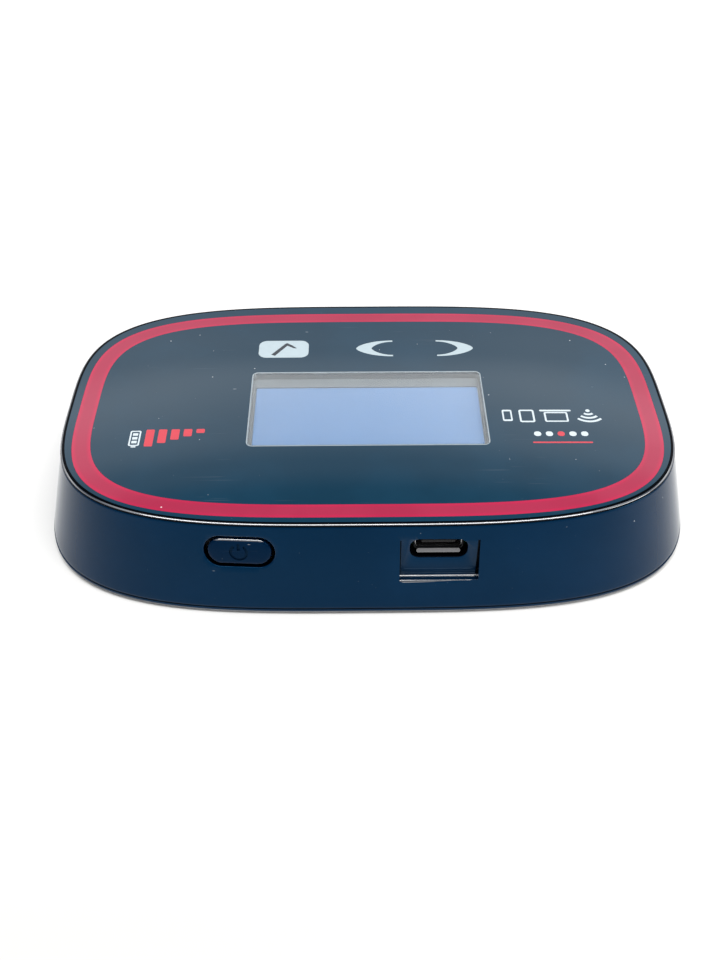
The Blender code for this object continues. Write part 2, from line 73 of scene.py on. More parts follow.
LIP_A, LIP_B, LIP_N = cover_high[0], cover_high[1], 3.48
LIP_Z = 1.0
EDGE_A, EDGE_B, EDGE_N = plate_high[0] - 0.12, plate_high[1] - 0.12, 3.46
FLARE = 0.2416
HEIGHT, CROWN = 16.37, 0.37
HOUSING_BOTTOM, RIM_TOP = shell_low[2], shell_high[2]
DECK_TOP = 14.98
PLATE_BOTTOM = plate_low[2]
WALL = 1.6
RING_Y = (ring_high[1] + ring_low[1]) / 2
RING_OUTER = (ring_high[0], ring_high[1] - RING_Y, 3.67)
RING_INNER = (ring_high[0] - 2.9, ring_high[1] - RING_Y - 2.65, 3.79)
WIN_W, WIN_D = lens_high[0] - lens_low[0], lens_high[1] - lens_low[1]
WIN_X, WIN_Y = (lens_high[0] + lens_low[0]) / 2, (lens_high[1] + lens_low[1]) / 2
USB_X, USB_Z = (usb_low[0] + usb_high[0]) / 2, (usb_low[2] + usb_high[2]) / 2
BUTTON_X, BUTTON_Z = (button_low[0] + button_high[0]) / 2 - 0.06, 11.1
RECESS_FACE_Y, RECESS_X, RECESS_BOTTOM = -29.2, (4.46, 16.47), 5.7
N = 288


# ------------------------------------------------------------------ mesh helpers
def superellipse(a, b, n, count=N):
    fine = 600
    track = []
    for i in range(fine + 1):
        t = 0.5 * math.pi * i / fine
        track.append((a * math.cos(t) ** (2 / n) if i < fine else 0.0, b * math.sin(t) ** (2 / n)))
    run = [0.0]
    for p, q in zip(track, track[1:]):
        run.append(run[-1] + math.dist(p, q))
    quarter, j, steps = [], 0, count // 4
    for k in range(steps):
        goal = run[-1] * k / steps
        while run[j + 1] < goal:
            j += 1
        f = (goal - run[j]) / (run[j + 1] - run[j])
        quarter.append(tuple(track[j][i] * (1 - f) + track[j + 1][i] * f for i in (0, 1)))
    points = []
    for turn in range(4):
        for k in range(steps):
            x, y = quarter[k] if turn % 2 == 0 else ((0.0, b) if k == 0 else quarter[steps - k])
            points.append((x * (1, -1, -1, 1)[turn], y * (1, 1, -1, -1)[turn]))
    return points


def top_height(x, y):
    r = (abs(x / EDGE_A) ** EDGE_N + abs(y / EDGE_B) ** EDGE_N) ** (1 / EDGE_N)
    return HEIGHT - CROWN * r**3


def wall_y(x, z):
    shrink = (z - LIP_Z) * FLARE
    a, b = LIP_A - shrink, LIP_B - shrink
    return -b * (1 - min(1.0, abs(x / a)) ** LIP_N) ** (1 / LIP_N)


def on_wall(x, z, w):
    """A point w mm out from the front wall's surface at x, z."""
    e = 0.05
    here = Vector((x, wall_y(x, z), z))
    du = Vector((2 * e, wall_y(x + e, z) - wall_y(x - e, z), 0.0))
    dv = Vector((0.0, wall_y(x, z + e) - wall_y(x, z - e), 2 * e))
    return tuple(here + du.cross(dv).normalized() * w)


def finish_mesh(work, name, angle=32.0, flat=False):
    bmesh.ops.recalc_face_normals(work, faces=work.faces)
    mesh = bpy.data.meshes.new(name)
    work.to_mesh(mesh)
    work.free()
    if not flat:
        mesh.shade_smooth()
        mesh.set_sharp_from_angle(angle=math.radians(angle))
    return mesh


def link(name, mesh, material=None):
    obj = bpy.data.objects.new(name, mesh)
    scene.collection.objects.link(obj)
    if material:
        mesh.materials.clear()
        mesh.materials.append(material)
    return obj


def loft(name, loops, material=None, closed=False, across=None, angle=32.0):
    work = bmesh.new()
    tag = work.verts.layers.float.new("across") if across else None
    rows = []
    for r, loop in enumerate(loops):
        row = []
        for p in loop:
            v = work.verts.new(Vector(p) * MM)
            if tag:
                v[tag] = across[r]
            row.append(v)
        rows.append(row)
    pairs = list(zip(rows, rows[1:]))
    if closed:
        pairs.append((rows[-1], rows[0]))
    count = len(rows[0])
    for low, high in pairs:
        for i in range(count):
            j = (i + 1) % count
            work.faces.new((low[i], low[j], high[j], high[i]))
    if not closed:
        ends = [work.faces.new(rows[0]), work.faces.new(rows[-1])]
        bmesh.ops.triangulate(work, faces=ends)
    return link(name, finish_mesh(work, name, angle), material)


def section(a, b, n, z, count=N):
    return [(x, y, z) for x, y in superellipse(a, b, n, count)]


def wall_section(z, inset=0.0, count=N):
    shrink = (z - LIP_Z) * FLARE + inset
    return section(LIP_A - shrink, LIP_B - shrink, LIP_N, z, count)


def rounded_rectangle(width, depth, radius, steps=8, cx=0.0, cy=0.0):
    points = []
    for corner, (sx, sy) in enumerate(((1, 1), (-1, 1), (-1, -1), (1, -1))):
        for k in range(steps + 1):
            angle = math.pi / 2 * (corner + k / steps)
            points.append(
                (
                    cx + sx * (width / 2 - radius) + radius * math.cos(angle),
                    cy + sy * (depth / 2 - radius) + radius * math.sin(angle),
                )
            )
    return points


def strip(points, thickness):
    left, right = [], []
    for i, (x, y) in enumerate(points):
        before, after = points[max(i - 1, 0)], points[min(i + 1, len(points) - 1)]
        dx, dy = after[0] - before[0], after[1] - before[1]
        length = math.hypot(dx, dy)
        nx, ny = -dy / length * thickness / 2, dx / length * thickness / 2
        left.append((x + nx, y + ny))
        right.append((x - nx, y - ny))
    return left + right[::-1]


def filled(outlines):
    """A flat triangulated face set inside the outlines, in mm."""
    curve = bpy.data.curves.new("fill", "CURVE")
    curve.dimensions = "2D"
    curve.fill_mode = "BOTH"
    for outline in outlines:
        spline = curve.splines.new("POLY")
        spline.points.add(len(outline) - 1)
        for point, (x, y) in zip(spline.points, outline):
            point.co = (x, y, 0.0, 1.0)
        spline.use_cyclic_u = True
    guide = bpy.data.objects.new("fill", curve)
    scene.collection.objects.link(guide)
    bpy.context.view_layer.update()
    graph = bpy.context.evaluated_depsgraph_get()
    mesh = bpy.data.meshes.new_from_object(guide.evaluated_get(graph))
    bpy.data.objects.remove(guide, do_unlink=True)
    work = bmesh.new()
    work.from_mesh(mesh)
    bpy.data.meshes.remove(mesh)
    bmesh.ops.remove_doubles(work, verts=work.verts, dist=1e-5)
    return work


def slab(name, outlines, top, low, material=None, step=3.0, chamfer=0.0, angle=32.0):
    """A closed plate whose top and bottom follow the functions top(x, y) and low(x, y)."""
    work = filled(outlines)
    xs = [v.co.x for v in work.verts]
    ys = [v.co.y for v in work.verts]
    for axis, lo, hi in ((0, min(xs), max(xs)), (1, min(ys), max(ys))):
        k = math.floor(lo / step) + 1 if step else 0
        while step and k * step < hi:
            co, no = [0.0, 0.0, 0.0], [0.0, 0.0, 0.0]
            co[axis], no[axis] = k * step, 1.0
            bmesh.ops.bisect_plane(work, geom=work.verts[:] + work.edges[:] + work.faces[:], dist=1e-6, plane_co=co, plane_no=no)
            k += 1
    roof = set(work.verts)
    made = bmesh.ops.extrude_face_region(work, geom=work.faces[:])
    floor = [g for g in made["geom"] if isinstance(g, bmesh.types.BMVert)]
    for v in floor:
        v.co.z = low(v.co.x, v.co.y)
    for v in roof:
        v.co.z = top(v.co.x, v.co.y)
    bmesh.ops.scale(work, vec=(MM, MM, MM), verts=work.verts)
    mesh = finish_mesh(work, name, angle)
    obj = link(name, mesh, material)
    if chamfer:
        soft = obj.modifiers.new("edge", "BEVEL")
        soft.width = chamfer * MM
        soft.segments = 2
        soft.limit_method = "ANGLE"
        soft.angle_limit = math.radians(50)
        apply_modifiers(obj)
        obj.data.shade_smooth()
        obj.data.set_sharp_from_angle(angle=math.radians(angle))
    return obj


def cube(name, size, centre, material=None, bevel=0.0, segments=3):
    work = bmesh.new()
    bmesh.ops.create_cube(work, size=1.0)
    bmesh.ops.scale(work, vec=Vector(size) * MM, verts=work.verts)
    if bevel:
        bmesh.ops.bevel(work, geom=work.edges[:], offset=bevel * MM, segments=segments, affect="EDGES", profile=0.5)
    bmesh.ops.translate(work, vec=Vector(centre) * MM, verts=work.verts)
    return link(name, finish_mesh(work, name), material)


def rod(name, radius, low, high, x, y, segments=48):
    work = bmesh.new()
    bmesh.ops.create_cone(work, cap_ends=True, segments=segments, radius1=radius * MM, radius2=radius * MM, depth=(high - low) * MM)
    bmesh.ops.translate(work, vec=Vector((x, y, (low + high) / 2)) * MM, verts=work.verts)
    return link(name, finish_mesh(work, name))


def apply_modifiers(obj):
    bpy.context.view_layer.update()
    graph = bpy.context.evaluated_depsgraph_get()
    mesh = bpy.data.meshes.new_from_object(obj.evaluated_get(graph))
    old = obj.data
    obj.modifiers.clear()
    obj.data = mesh
    if old.users == 0:
        bpy.data.meshes.remove(old)
    return obj


def carve(obj, steps, angle=32.0):
    """Boolean steps [(other, operation), ...], applied, with the helper objects removed. They run in millimetres."""
    for mesh in [obj.data] + [other.data for other, _ in steps]:
        mesh.transform(Matrix.Scale(1 / MM, 4))
    for other, operation in steps:
        step = obj.modifiers.new(other.name, "BOOLEAN")
        step.operation = operation
        step.solver = "MANIFOLD"
        step.object = other
    apply_modifiers(obj)
    obj.data.transform(Matrix.Scale(MM, 4))
    for other, _ in steps:
        bpy.data.objects.remove(other, do_unlink=True)
    work = bmesh.new()
    work.from_mesh(obj.data)
    bmesh.ops.remove_doubles(work, verts=work.verts, dist=1e-7)
    bmesh.ops.dissolve_degenerate(work, edges=work.edges, dist=1e-7)
    work.to_mesh(obj.data)
    work.free()
    obj.data.shade_smooth()
    obj.data.set_sharp_from_angle(angle=math.radians(angle))
    return obj


# ------------------------------------------------------------------ materials
class Finish:
    """A Principled material with node helpers. Coordinates are object coordinates in mm."""

    def __init__(self, name, base, rough, metallic=0.0, ior=1.5, **extra):
        self.m = bpy.data.materials.new(name)
        self.m.use_nodes = True
        self.t = self.m.node_tree
        self.s = self.t.nodes["Principled BSDF"]
        self.s.inputs["Base Color"].default_value = (*base, 1.0)
        self.s.inputs["Roughness"].default_value = rough
        self.s.inputs["Metallic"].default_value = metallic
        self.s.inputs["IOR"].default_value = ior
        for key, value in extra.items():
            self.s.inputs[key.replace("_", " ")].default_value = value
        self.base, self.rough = base, rough
        where = self.t.nodes.new("ShaderNodeTexCoord")
        self.mm = self.t.nodes.new("ShaderNodeVectorMath")
        self.mm.operation = "SCALE"
        self.mm.inputs["Scale"].default_value = 1000.0
        self.t.links.new(where.outputs["Object"], self.mm.inputs[0])
        self.co = self.mm.outputs[0]
        self.colour = None
        self.roughness = None
        self.height = None

    def new(self, kind):
        return self.t.nodes.new(kind)

    def wire(self, a, b):
        self.t.links.new(a, b)

    def math(self, op, a, b=0.0, clamp=False):
        n = self.new("ShaderNodeMath")
        n.operation = op
        n.use_clamp = clamp
        for i, v in enumerate((a, b)):
            if isinstance(v, (int, float)):
                n.inputs[i].default_value = v
            else:
                self.wire(v, n.inputs[i])
        return n.outputs[0]

    def scaled(self, scale, turn=(0.0, 0.0, 0.0)):
        n = self.new("ShaderNodeMapping")
        n.inputs["Rotation"].default_value = turn
        n.inputs["Scale"].default_value = scale
        self.wire(self.co, n.inputs["Vector"])
        return n.outputs[0]

    def noise(self, scale, detail=3.0, rough=0.5, at=None):
        n = self.new("ShaderNodeTexNoise")
        n.inputs["Scale"].default_value = scale
        n.inputs["Detail"].default_value = detail
        n.inputs["Roughness"].default_value = rough
        self.wire(at or self.co, n.inputs["Vector"])
        return n.outputs["Fac"]

    def band(self, value, low, high, a=0.0, b=1.0):
        n = self.new("ShaderNodeMapRange")
        n.interpolation_type = "SMOOTHSTEP"
        for i, v in zip((1, 2, 3, 4), (low, high, a, b)):
            n.inputs[i].default_value = v
        self.wire(value, n.inputs[0])
        return n.outputs[0]

    def mix(self, mask, a, b):
        """Colour a where mask is 0, b where it is 1."""
        n = self.new("ShaderNodeMix")
        n.data_type = "RGBA"
        for i, v in ((6, a), (7, b)):
            if isinstance(v, tuple):
                n.inputs[i].default_value = (*v, 1.0)
            else:
                self.wire(v, n.inputs[i])
        self.wire(mask, n.inputs[0])
        return n.outputs[2]

    def add_colour(self, mask, colour):
        self.colour = self.mix(mask, self.colour or self.base, colour)
        return self

    def add_rough(self, mask, amount):
        """Roughness rises by amount where mask is 1."""
        self.roughness = self.math("ADD", self.roughness or self.rough, self.math("MULTIPLY", mask, amount))
        return self

    def add_height(self, value, amount):
        """Surface height in micrometres."""
        part = self.math("MULTIPLY", value, amount)
        self.height = self.math("ADD", self.height, part) if self.height else part
        return self

    def specks(self, cell, radius, share, seed=0.0, at=None):
        """Sparse round specks: radius and cell in mm, share of the cells that hold one."""
        v = self.new("ShaderNodeTexVoronoi")
        v.feature = "F1"
        v.inputs["Scale"].default_value = 1.0 / cell
        move = self.new("ShaderNodeVectorMath")
        move.operation = "ADD"
        self.wire(at or self.co, move.inputs[0])
        move.inputs[1].default_value = (seed, seed * 0.7, seed * 1.3)
        self.wire(move.outputs[0], v.inputs["Vector"])
        split = self.new("ShaderNodeSeparateColor")
        self.wire(v.outputs["Color"], split.inputs[0])
        chosen = self.math("LESS_THAN", split.outputs[0], share)
        size = self.math("MULTIPLY", self.math("ADD", split.outputs[1], 0.35), radius / cell)
        inside = self.math("SUBTRACT", 1.0, self.math("DIVIDE", v.outputs["Distance"], size), clamp=True)
        return self.math("MULTIPLY", self.math("MULTIPLY", inside, 2.0, clamp=True), chosen)

    def scratches(self, turn, length=0.06, width=2.4, level=0.73):
        """Hairlines: a noise stretched along one direction, cut to its crests."""
        at = self.scaled((length, width, width), (0.0, 0.0, turn))
        crest = self.band(self.noise(1.0, 1.0, 0.4, at), level, level + 0.012)
        patch = self.band(self.noise(0.07, 2.0), 0.52, 0.62)
        return self.math("MULTIPLY", crest, patch)

    def done(self, bump=1.0):
        if self.colour:
            self.wire(self.colour, self.s.inputs["Base Color"])
        if self.roughness:
            self.wire(self.roughness, self.s.inputs["Roughness"])
        if self.height:
            n = self.new("ShaderNodeBump")
            n.inputs["Strength"].default_value = bump
            n.inputs["Distance"].default_value = 1e-6
            self.wire(self.height, n.inputs["Height"])
            self.wire(n.outputs[0], self.s.inputs["Normal"])
        return self.m


def gloss(name, base, ior, tint, rough=0.045, dust=1.0, ripple=0.9, wear=1.0):
    """Polished moulded plastic with dust, hairlines, faint smears and a slight moulding ripple."""
    f = Finish(name, base, rough, ior=ior)
    f.s.inputs["Specular Tint"].default_value = (*tint, 1.0)
    smear = f.band(f.noise(0.045, 4.0, 0.6), 0.42, 0.68)
    f.add_rough(smear, 0.035)
    f.add_colour(f.math("MULTIPLY", smear, 0.35), tuple(c * 1.5 + 0.0012 for c in base))
    fine = f.specks(1.3, 0.05, 0.6, 3.1)
    coarse = f.specks(2.6, 0.115, 0.5 * dust, 11.7)
    lint_at = f.scaled((0.35, 2.0, 2.0), (0.0, 0.0, 0.9))
    lint = f.specks(2.6, 0.12, 0.22 * dust, 5.3, lint_at)
    lint_b = f.specks(2.9, 0.11, 0.18 * dust, 8.9, f.scaled((2.0, 0.35, 2.0), (0.0, 0.0, 0.35)))
    f.add_colour(f.math("MULTIPLY", fine, 0.22), (0.45, 0.5, 0.55))
    f.add_colour(f.math("MULTIPLY", coarse, 0.85), (0.72, 0.76, 0.8))
    f.add_colour(f.math("MULTIPLY", lint, 0.5), (0.6, 0.65, 0.7))
    f.add_colour(f.math("MULTIPLY", lint_b, 0.5), (0.6, 0.65, 0.7))
    f.add_rough(coarse, 0.5)
    f.add_rough(lint, 0.4)
    for turn in (0.35, 1.9) if wear else ():
        line = f.scratches(turn)
        f.add_rough(line, 0.16 * wear)
        f.add_height(line, -0.5 * wear)
        f.add_colour(f.math("MULTIPLY", line, 0.10 * wear), (0.25, 0.3, 0.36))
    f.add_height(f.noise(0.16, 2.0), 6.0 * ripple)
    f.add_height(coarse, 8.0)
    return f.done()


def satin(name, base, rough, grain=4.0, grain_scale=3.0, patch=0.25, metallic=0.0, tone=1.35, ior=1.5):
    """Moulded or coated surface: fine grain, patchy tone, scuffs and dust."""
    f = Finish(name, base, rough, metallic=metallic, ior=ior)
    cloud = f.band(f.noise(0.12, 4.0, 0.6), 0.35, 0.7)
    f.add_colour(f.math("MULTIPLY", cloud, patch), tuple(min(1.0, c * tone + 0.004) for c in base))
    f.add_rough(cloud, 0.08)
    f.add_height(f.noise(grain_scale, 3.0, 0.6), grain)
    f.add_colour(f.math("MULTIPLY", f.specks(2.2, 0.07, 0.45, 4.4), 0.4), (0.55, 0.57, 0.6))
    scuff = f.scratches(0.8, 0.08, 2.0, 0.7)
    f.add_rough(scuff, 0.15)
    f.add_colour(f.math("MULTIPLY", scuff, 0.12), tuple(min(1.0, c * 1.6 + 0.05) for c in base))
    return f.done()


def brushed(name, base, rough, along=0, spots=True, oxide=(0.3, 0.27, 0.22)):
    """Sheet metal: drawing lines along one axis, faint stains and handling marks."""
    f = Finish(name, base, rough, metallic=1.0)
    scale = [3.5, 3.5, 3.5]
    scale[along] = 0.12
    lines = f.noise(1.0, 3.0, 0.7, f.scaled(tuple(scale)))
    f.add_rough(f.band(lines, 0.35, 0.7), 0.14)
    f.add_height(lines, 2.2)
    f.add_colour(f.math("MULTIPLY", f.band(lines, 0.4, 0.7), 0.16), tuple(c * 0.8 for c in base))
    if spots:
        stain = f.band(f.noise(0.35, 4.0, 0.65), 0.55, 0.75)
        f.add_colour(f.math("MULTIPLY", stain, 0.28), oxide)
        f.add_rough(stain, 0.12)
    f.add_colour(f.math("MULTIPLY", f.specks(1.4, 0.05, 0.4, 2.0), 0.3), (0.4, 0.4, 0.4))
    return f.done()


def circuit(name):
    """Solder mask over copper: tracks as stepped bands, vias as small pads."""
    f = Finish(name, (0.012, 0.085, 0.045), 0.32)
    grid = f.new("ShaderNodeTexBrick")
    grid.inputs["Scale"].default_value = 0.32
    grid.inputs["Mortar Size"].default_value = 0.03
    grid.inputs["Mortar Smooth"].default_value = 0.2
    grid.inputs["Color1"].default_value = (0, 0, 0, 1)
    grid.inputs["Color2"].default_value = (0, 0, 0, 1)
    grid.inputs["Mortar"].default_value = (1, 1, 1, 1)
    f.wire(f.scaled((1.0, 1.0, 0.0), (0.0, 0.0, 0.3926)), grid.inputs["Vector"])
    lines = grid.outputs["Color"]
    gate = f.band(f.noise(0.16, 2.0), 0.45, 0.52)
    track = f.math("MULTIPLY", lines, gate)
    f.add_colour(track, (0.03, 0.2, 0.1))
    pads = f.specks(1.7, 0.32, 0.4, 9.0)
    f.add_colour(pads, (0.62, 0.5, 0.28))
    f.add_height(track, 12.0)
    f.add_height(f.noise(2.0, 3.0), 2.0)
    f.add_rough(f.noise(0.2, 3.0), 0.15)
    return f.done()


# The wall's gloss has its reflection tinted navy and dimmed: painted shade that keeps the wall darker than the top
# panel.
WALL_NAVY_SHADED = gloss("navy_gloss_wall_painted_shade", (0.0005, 0.0148, 0.0455), 1.5, (0.05, 0.19, 0.32), rough=0.06, dust=0.8, ripple=0.8, wear=0.0)
PANEL = gloss("navy_gloss_panel", (0.0012, 0.028, 0.058), 1.4, (0.95, 1.0, 1.0), rough=0.03, dust=1.0, ripple=0.4, wear=0.6)
# A copy of the navy gloss with a far stronger reflection, put on thin edge bands where the overhead lamp should glint:
# painted highlight.
PAINTED_HIGHLIGHT = gloss("navy_painted_highlight", (0.0008, 0.010, 0.03), 3.0, (1.0, 1.0, 1.0), rough=0.05, dust=0.4, ripple=0.6, wear=0.0)
# Near-black gloss put on edge bands, groove walls and the insides of the recess and holes: painted shade and painted
# dark reflection.
PAINTED_SHADE = gloss("black_painted_shade", (0.0003, 0.0006, 0.0018), 1.12, (0.6, 0.8, 1.0), rough=0.12, dust=0.3, ripple=0.5, wear=0.0)
EDGE_NAVY = gloss("navy_gloss_button", (0.0003, 0.0085, 0.031), 1.4, (0.04, 0.2, 0.36), rough=0.07, dust=0.5, wear=0.0)


def ring_finish():
    f = Finish("ring_translucent_red", (0.365, 0.024, 0.068), 0.04, ior=1.36)
    a = f.new("ShaderNodeAttribute")
    a.attribute_name = "across"
    edge = f.math("ABSOLUTE", f.math("SUBTRACT", a.outputs["Fac"], 0.5))
    f.add_colour(f.band(edge, 0.22, 0.46), (0.47, 0.018, 0.07))
    f.add_colour(f.math("MULTIPLY", f.band(f.noise(0.09, 3.0), 0.4, 0.65), 0.3), (0.30, 0.010, 0.045))
    f.add_colour(f.math("MULTIPLY", f.specks(2.4, 0.13, 0.5, 7.7), 0.8), (0.85, 0.7, 0.74))
    f.add_rough(f.band(f.noise(0.06, 3.0), 0.45, 0.7), 0.03)
    f.add_height(f.noise(0.16, 2.0), 3.0)
    f.s.inputs["Subsurface Weight"].default_value = 0.0
    return f.done()


RED = ring_finish()


def printed(name, base, rough=0.22):
    f = Finish(name, base, rough, ior=1.45)
    f.add_colour(f.math("MULTIPLY", f.band(f.noise(0.9, 4.0, 0.6), 0.4, 0.7), 0.25), tuple(c * 0.86 for c in base))
    f.add_colour(f.math("MULTIPLY", f.specks(1.2, 0.09, 0.3, 1.0), 0.35), (0.3, 0.32, 0.35))
    f.add_rough(f.noise(0.8, 3.0), 0.1)
    f.add_height(f.noise(5.0, 2.0), 0.8)
    return f.done()


ICON_WHITE = printed("icon_white", (0.43, 0.525, 0.575), 0.12)
ICON_DARK = printed("icon_dark", (0.02, 0.028, 0.04), 0.12)
MARK_WHITE = printed("print_white", (0.60, 0.68, 0.73), 0.25)
MARK_RED = printed("print_red", (0.60, 0.05, 0.075), 0.25)


def window_finish():
    f = Finish("window_clear", (1.0, 1.0, 1.0), 0.02, ior=1.45)
    f.s.inputs["Transmission Weight"].default_value = 1.0
    smear = f.band(f.noise(0.08, 4.0, 0.6), 0.5, 0.75)
    f.add_rough(smear, 0.025)
    f.add_height(f.noise(0.16, 2.0), 2.0)
    f.done()
    t = f.t
    clear = f.new("ShaderNodeBsdfTransparent")
    path = f.new("ShaderNodeLightPath")
    mix = f.new("ShaderNodeMixShader")
    out = next(n for n in t.nodes if n.type == "OUTPUT_MATERIAL")
    f.wire(path.outputs["Is Shadow Ray"], mix.inputs[0])
    f.wire(f.s.outputs[0], mix.inputs[1])
    f.wire(clear.outputs[0], mix.inputs[2])
    f.wire(mix.outputs[0], out.inputs[0])
    return f.m


WINDOW = window_finish()


def display_finish():
    f = Finish("display_painted_glow", (0.055, 0.105, 0.19), 0.3, ior=1.45)
    f.s.inputs["Emission Strength"].default_value = 1.0
    split = f.new("ShaderNodeSeparateXYZ")
    f.wire(f.co, split.inputs[0])
    # The screen's emission is painted light standing in for the light reaching it through the window, painted brighter
    # towards the front right corner.
    slant = f.math("ADD", f.math("MULTIPLY", split.outputs[0], 0.020), f.math("MULTIPLY", split.outputs[1], -0.016))
    painted_glow = f.band(f.math("ADD", slant, f.math("MULTIPLY", f.noise(0.05, 3.0), 0.35)), -0.35, 0.85)
    tone = f.mix(painted_glow, (0.036, 0.098, 0.212), (0.054, 0.12, 0.24))
    # The cell grid of a liquid-crystal panel, finer than a tenth of a millimetre
    cells = f.new("ShaderNodeTexBrick")
    cells.offset = 0.0
    cells.inputs["Scale"].default_value = 3.0
    cells.inputs["Mortar Size"].default_value = 0.012
    cells.inputs["Color1"].default_value = (1, 1, 1, 1)
    cells.inputs["Color2"].default_value = (1, 1, 1, 1)
    cells.inputs["Mortar"].default_value = (0.975, 0.98, 0.985, 1)
    f.wire(f.co, cells.inputs["Vector"])
    blend = f.new("ShaderNodeMix")
    blend.data_type = "RGBA"
    blend.blend_type = "MULTIPLY"
    blend.inputs[0].default_value = 1.0
    f.wire(tone, blend.inputs[6])
    f.wire(cells.outputs["Color"], blend.inputs[7])
    f.wire(blend.outputs[2], f.s.inputs["Emission Color"])
    f.add_colour(f.math("MULTIPLY", f.specks(2.6, 0.07, 0.4, 6.0), 0.5), (0.7, 0.75, 0.8))
    f.add_height(f.noise(0.1, 1.0), 3.0)
    f.add_rough(f.noise(0.2, 3.0), 0.1)
    return f.done()


DISPLAY = display_finish()
SURROUND = satin("display_surround_grey", (0.085, 0.107, 0.122), 0.5, 0.25, 4.0, 0.2)
GLASS_EDGE = satin("display_glass_edge", (0.36, 0.42, 0.46), 0.3, 0.6, 4.0, 0.2)
BORDER = satin("window_border_print", (0.30, 0.36, 0.40), 0.25, 0.4, 5.0, 0.2)
# The back cover is dark satin plastic, darkened further and given a weak reflection: painted shade on the rolled edge
# under the body.
BACK_COVER_SHADED = satin("back_cover_satin_painted_shade", (0.0022, 0.005, 0.010), 0.34, 5.0, 4.5, 0.35, ior=1.22)
# Near-black finish for the socket body: painted shade for the inside of the port.
SOCKET_PAINTED_SHADE = satin("socket_rim_painted_shade", (0.006, 0.007, 0.009), 0.5, 3.0, 4.0, 0.3, ior=1.25)
FRAME = satin("frame_plastic", (0.055, 0.056, 0.06), 0.5, 8.0, 3.0)
FOAM = satin("black_insulator", (0.012, 0.012, 0.013), 0.75, 20.0, 5.0)
MILKY = satin("milky_guide", (0.7, 0.72, 0.73), 0.35, 2.0, 2.0)
SIM = satin("sim_card_plastic", (0.72, 0.72, 0.7), 0.4, 1.0, 3.0)
WRAP = satin("battery_wrap", (0.02, 0.02, 0.022), 0.35, 3.0, 2.0, 0.35)
STEEL = brushed("shield_steel", (0.62, 0.61, 0.58), 0.28, 0)
NICKEL = brushed("connector_nickel", (0.5, 0.5, 0.5), 0.3, 0, spots=False)
SATIN_NICKEL = brushed("connector_lip_nickel", (0.3, 0.3, 0.31), 0.42, 2, spots=True, oxide=(0.25, 0.25, 0.27))
GOLD = brushed("contact_gold", (0.83, 0.6, 0.26), 0.22, 2, oxide=(0.35, 0.22, 0.1))
COPPER = brushed("antenna_copper", (0.72, 0.38, 0.2), 0.35, 1, oxide=(0.3, 0.13, 0.06))
BOARD = circuit("board_green")

by_slot = {
    "gloss_housing": WALL_NAVY_SHADED,
    "gloss_panel": PANEL,
    "ring_red": RED,
    "window": WINDOW,
    "icon_white": ICON_WHITE,
    "display": DISPLAY,
    "display_frame": SURROUND,
    "light_guide": MILKY,
    "foam_black": FOAM,
    "shield_steel": STEEL,
    "connector_steel": NICKEL,
    "contact_gold": GOLD,
    "antenna_copper": COPPER,
    "board": BOARD,
    "frame_plastic": FRAME,
    "back_cover": BACK_COVER_SHADED,
    "battery_wrap": WRAP,
    "sim_plastic": SIM,
}
for part in frame["record"]["subparts"]:
    obj = nodes_of[part["node"]]
    obj.data.materials.clear()
    obj.data.materials.append(by_slot[part["material_slot"]])


def piece(obj, body, slot_name, *replaced):
    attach(obj, body)
    if replaced:
        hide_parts(*replaced)
    return obj


# ------------------------------------------------------------------ housing: flared wall, deck, recess, holes
z0, z1 = HOUSING_BOTTOM - 0.12, RIM_TOP - 0.04
rows = [(0.34, z0), (0.16, z0 + 0.03), (0.06, z0 + 0.12), (0.015, z0 + 0.26), (0.0, z0 + 0.5)]
rows += [(0.0, z0 + 0.5 + (z1 - z0 - 0.9) * k / 14) for k in range(1, 15)]
rows += [(0.0, z1 - 0.2), (0.01, z1 - 0.1), (0.035, z1 - 0.04), (0.08, z1), (1.0, z1), (1.0 + (z1 - DECK_TOP) * FLARE, DECK_TOP)]
shell = loft("housing_shell", [wall_section(z, inset) for inset, z in rows], WALL_NAVY_SHADED)

cavity = loft("cavity", [wall_section(0.2, WALL, 144), wall_section(13.8, WALL, 144)])
boss = cube("usb_boss", (14.6, 3.2, 9.9), (USB_X, -28.9, 9.35))
limit = loft("boss_limit", [wall_section(0.4, 0.35, 144), wall_section(14.4, 0.35, 144)])
carve(boss, [(limit, "INTERSECT")])
steps = [(cavity, "DIFFERENCE"), (boss, "UNION")]
screw_low, screw_high = box_mm("chassis_screw_1")
SCREW_X, SCREW_Y = (screw_low[0] + screw_high[0]) / 2, (screw_low[1] + screw_high[1]) / 2
for i, (sx, sy) in enumerate(((1, 1), (-1, 1), (-1, -1), (1, -1))):
    steps.append((rod(f"boss_{i}", 2.2, 8.7, 14.2, sx * SCREW_X, sy * SCREW_Y), "UNION"))
    steps.append((rod(f"pilot_{i}", 1.1, 8.0, 12.6, sx * SCREW_X, sy * SCREW_Y, 24), "DIFFERENCE"))
deck = loft("deck_cut", [[(x, y, z) for x, y in rounded_rectangle(49.0, 35.4, 2.0, 8, 0.0, 1.8)] for z in (12.4, 16.4)])
steps.append((deck, "DIFFERENCE"))

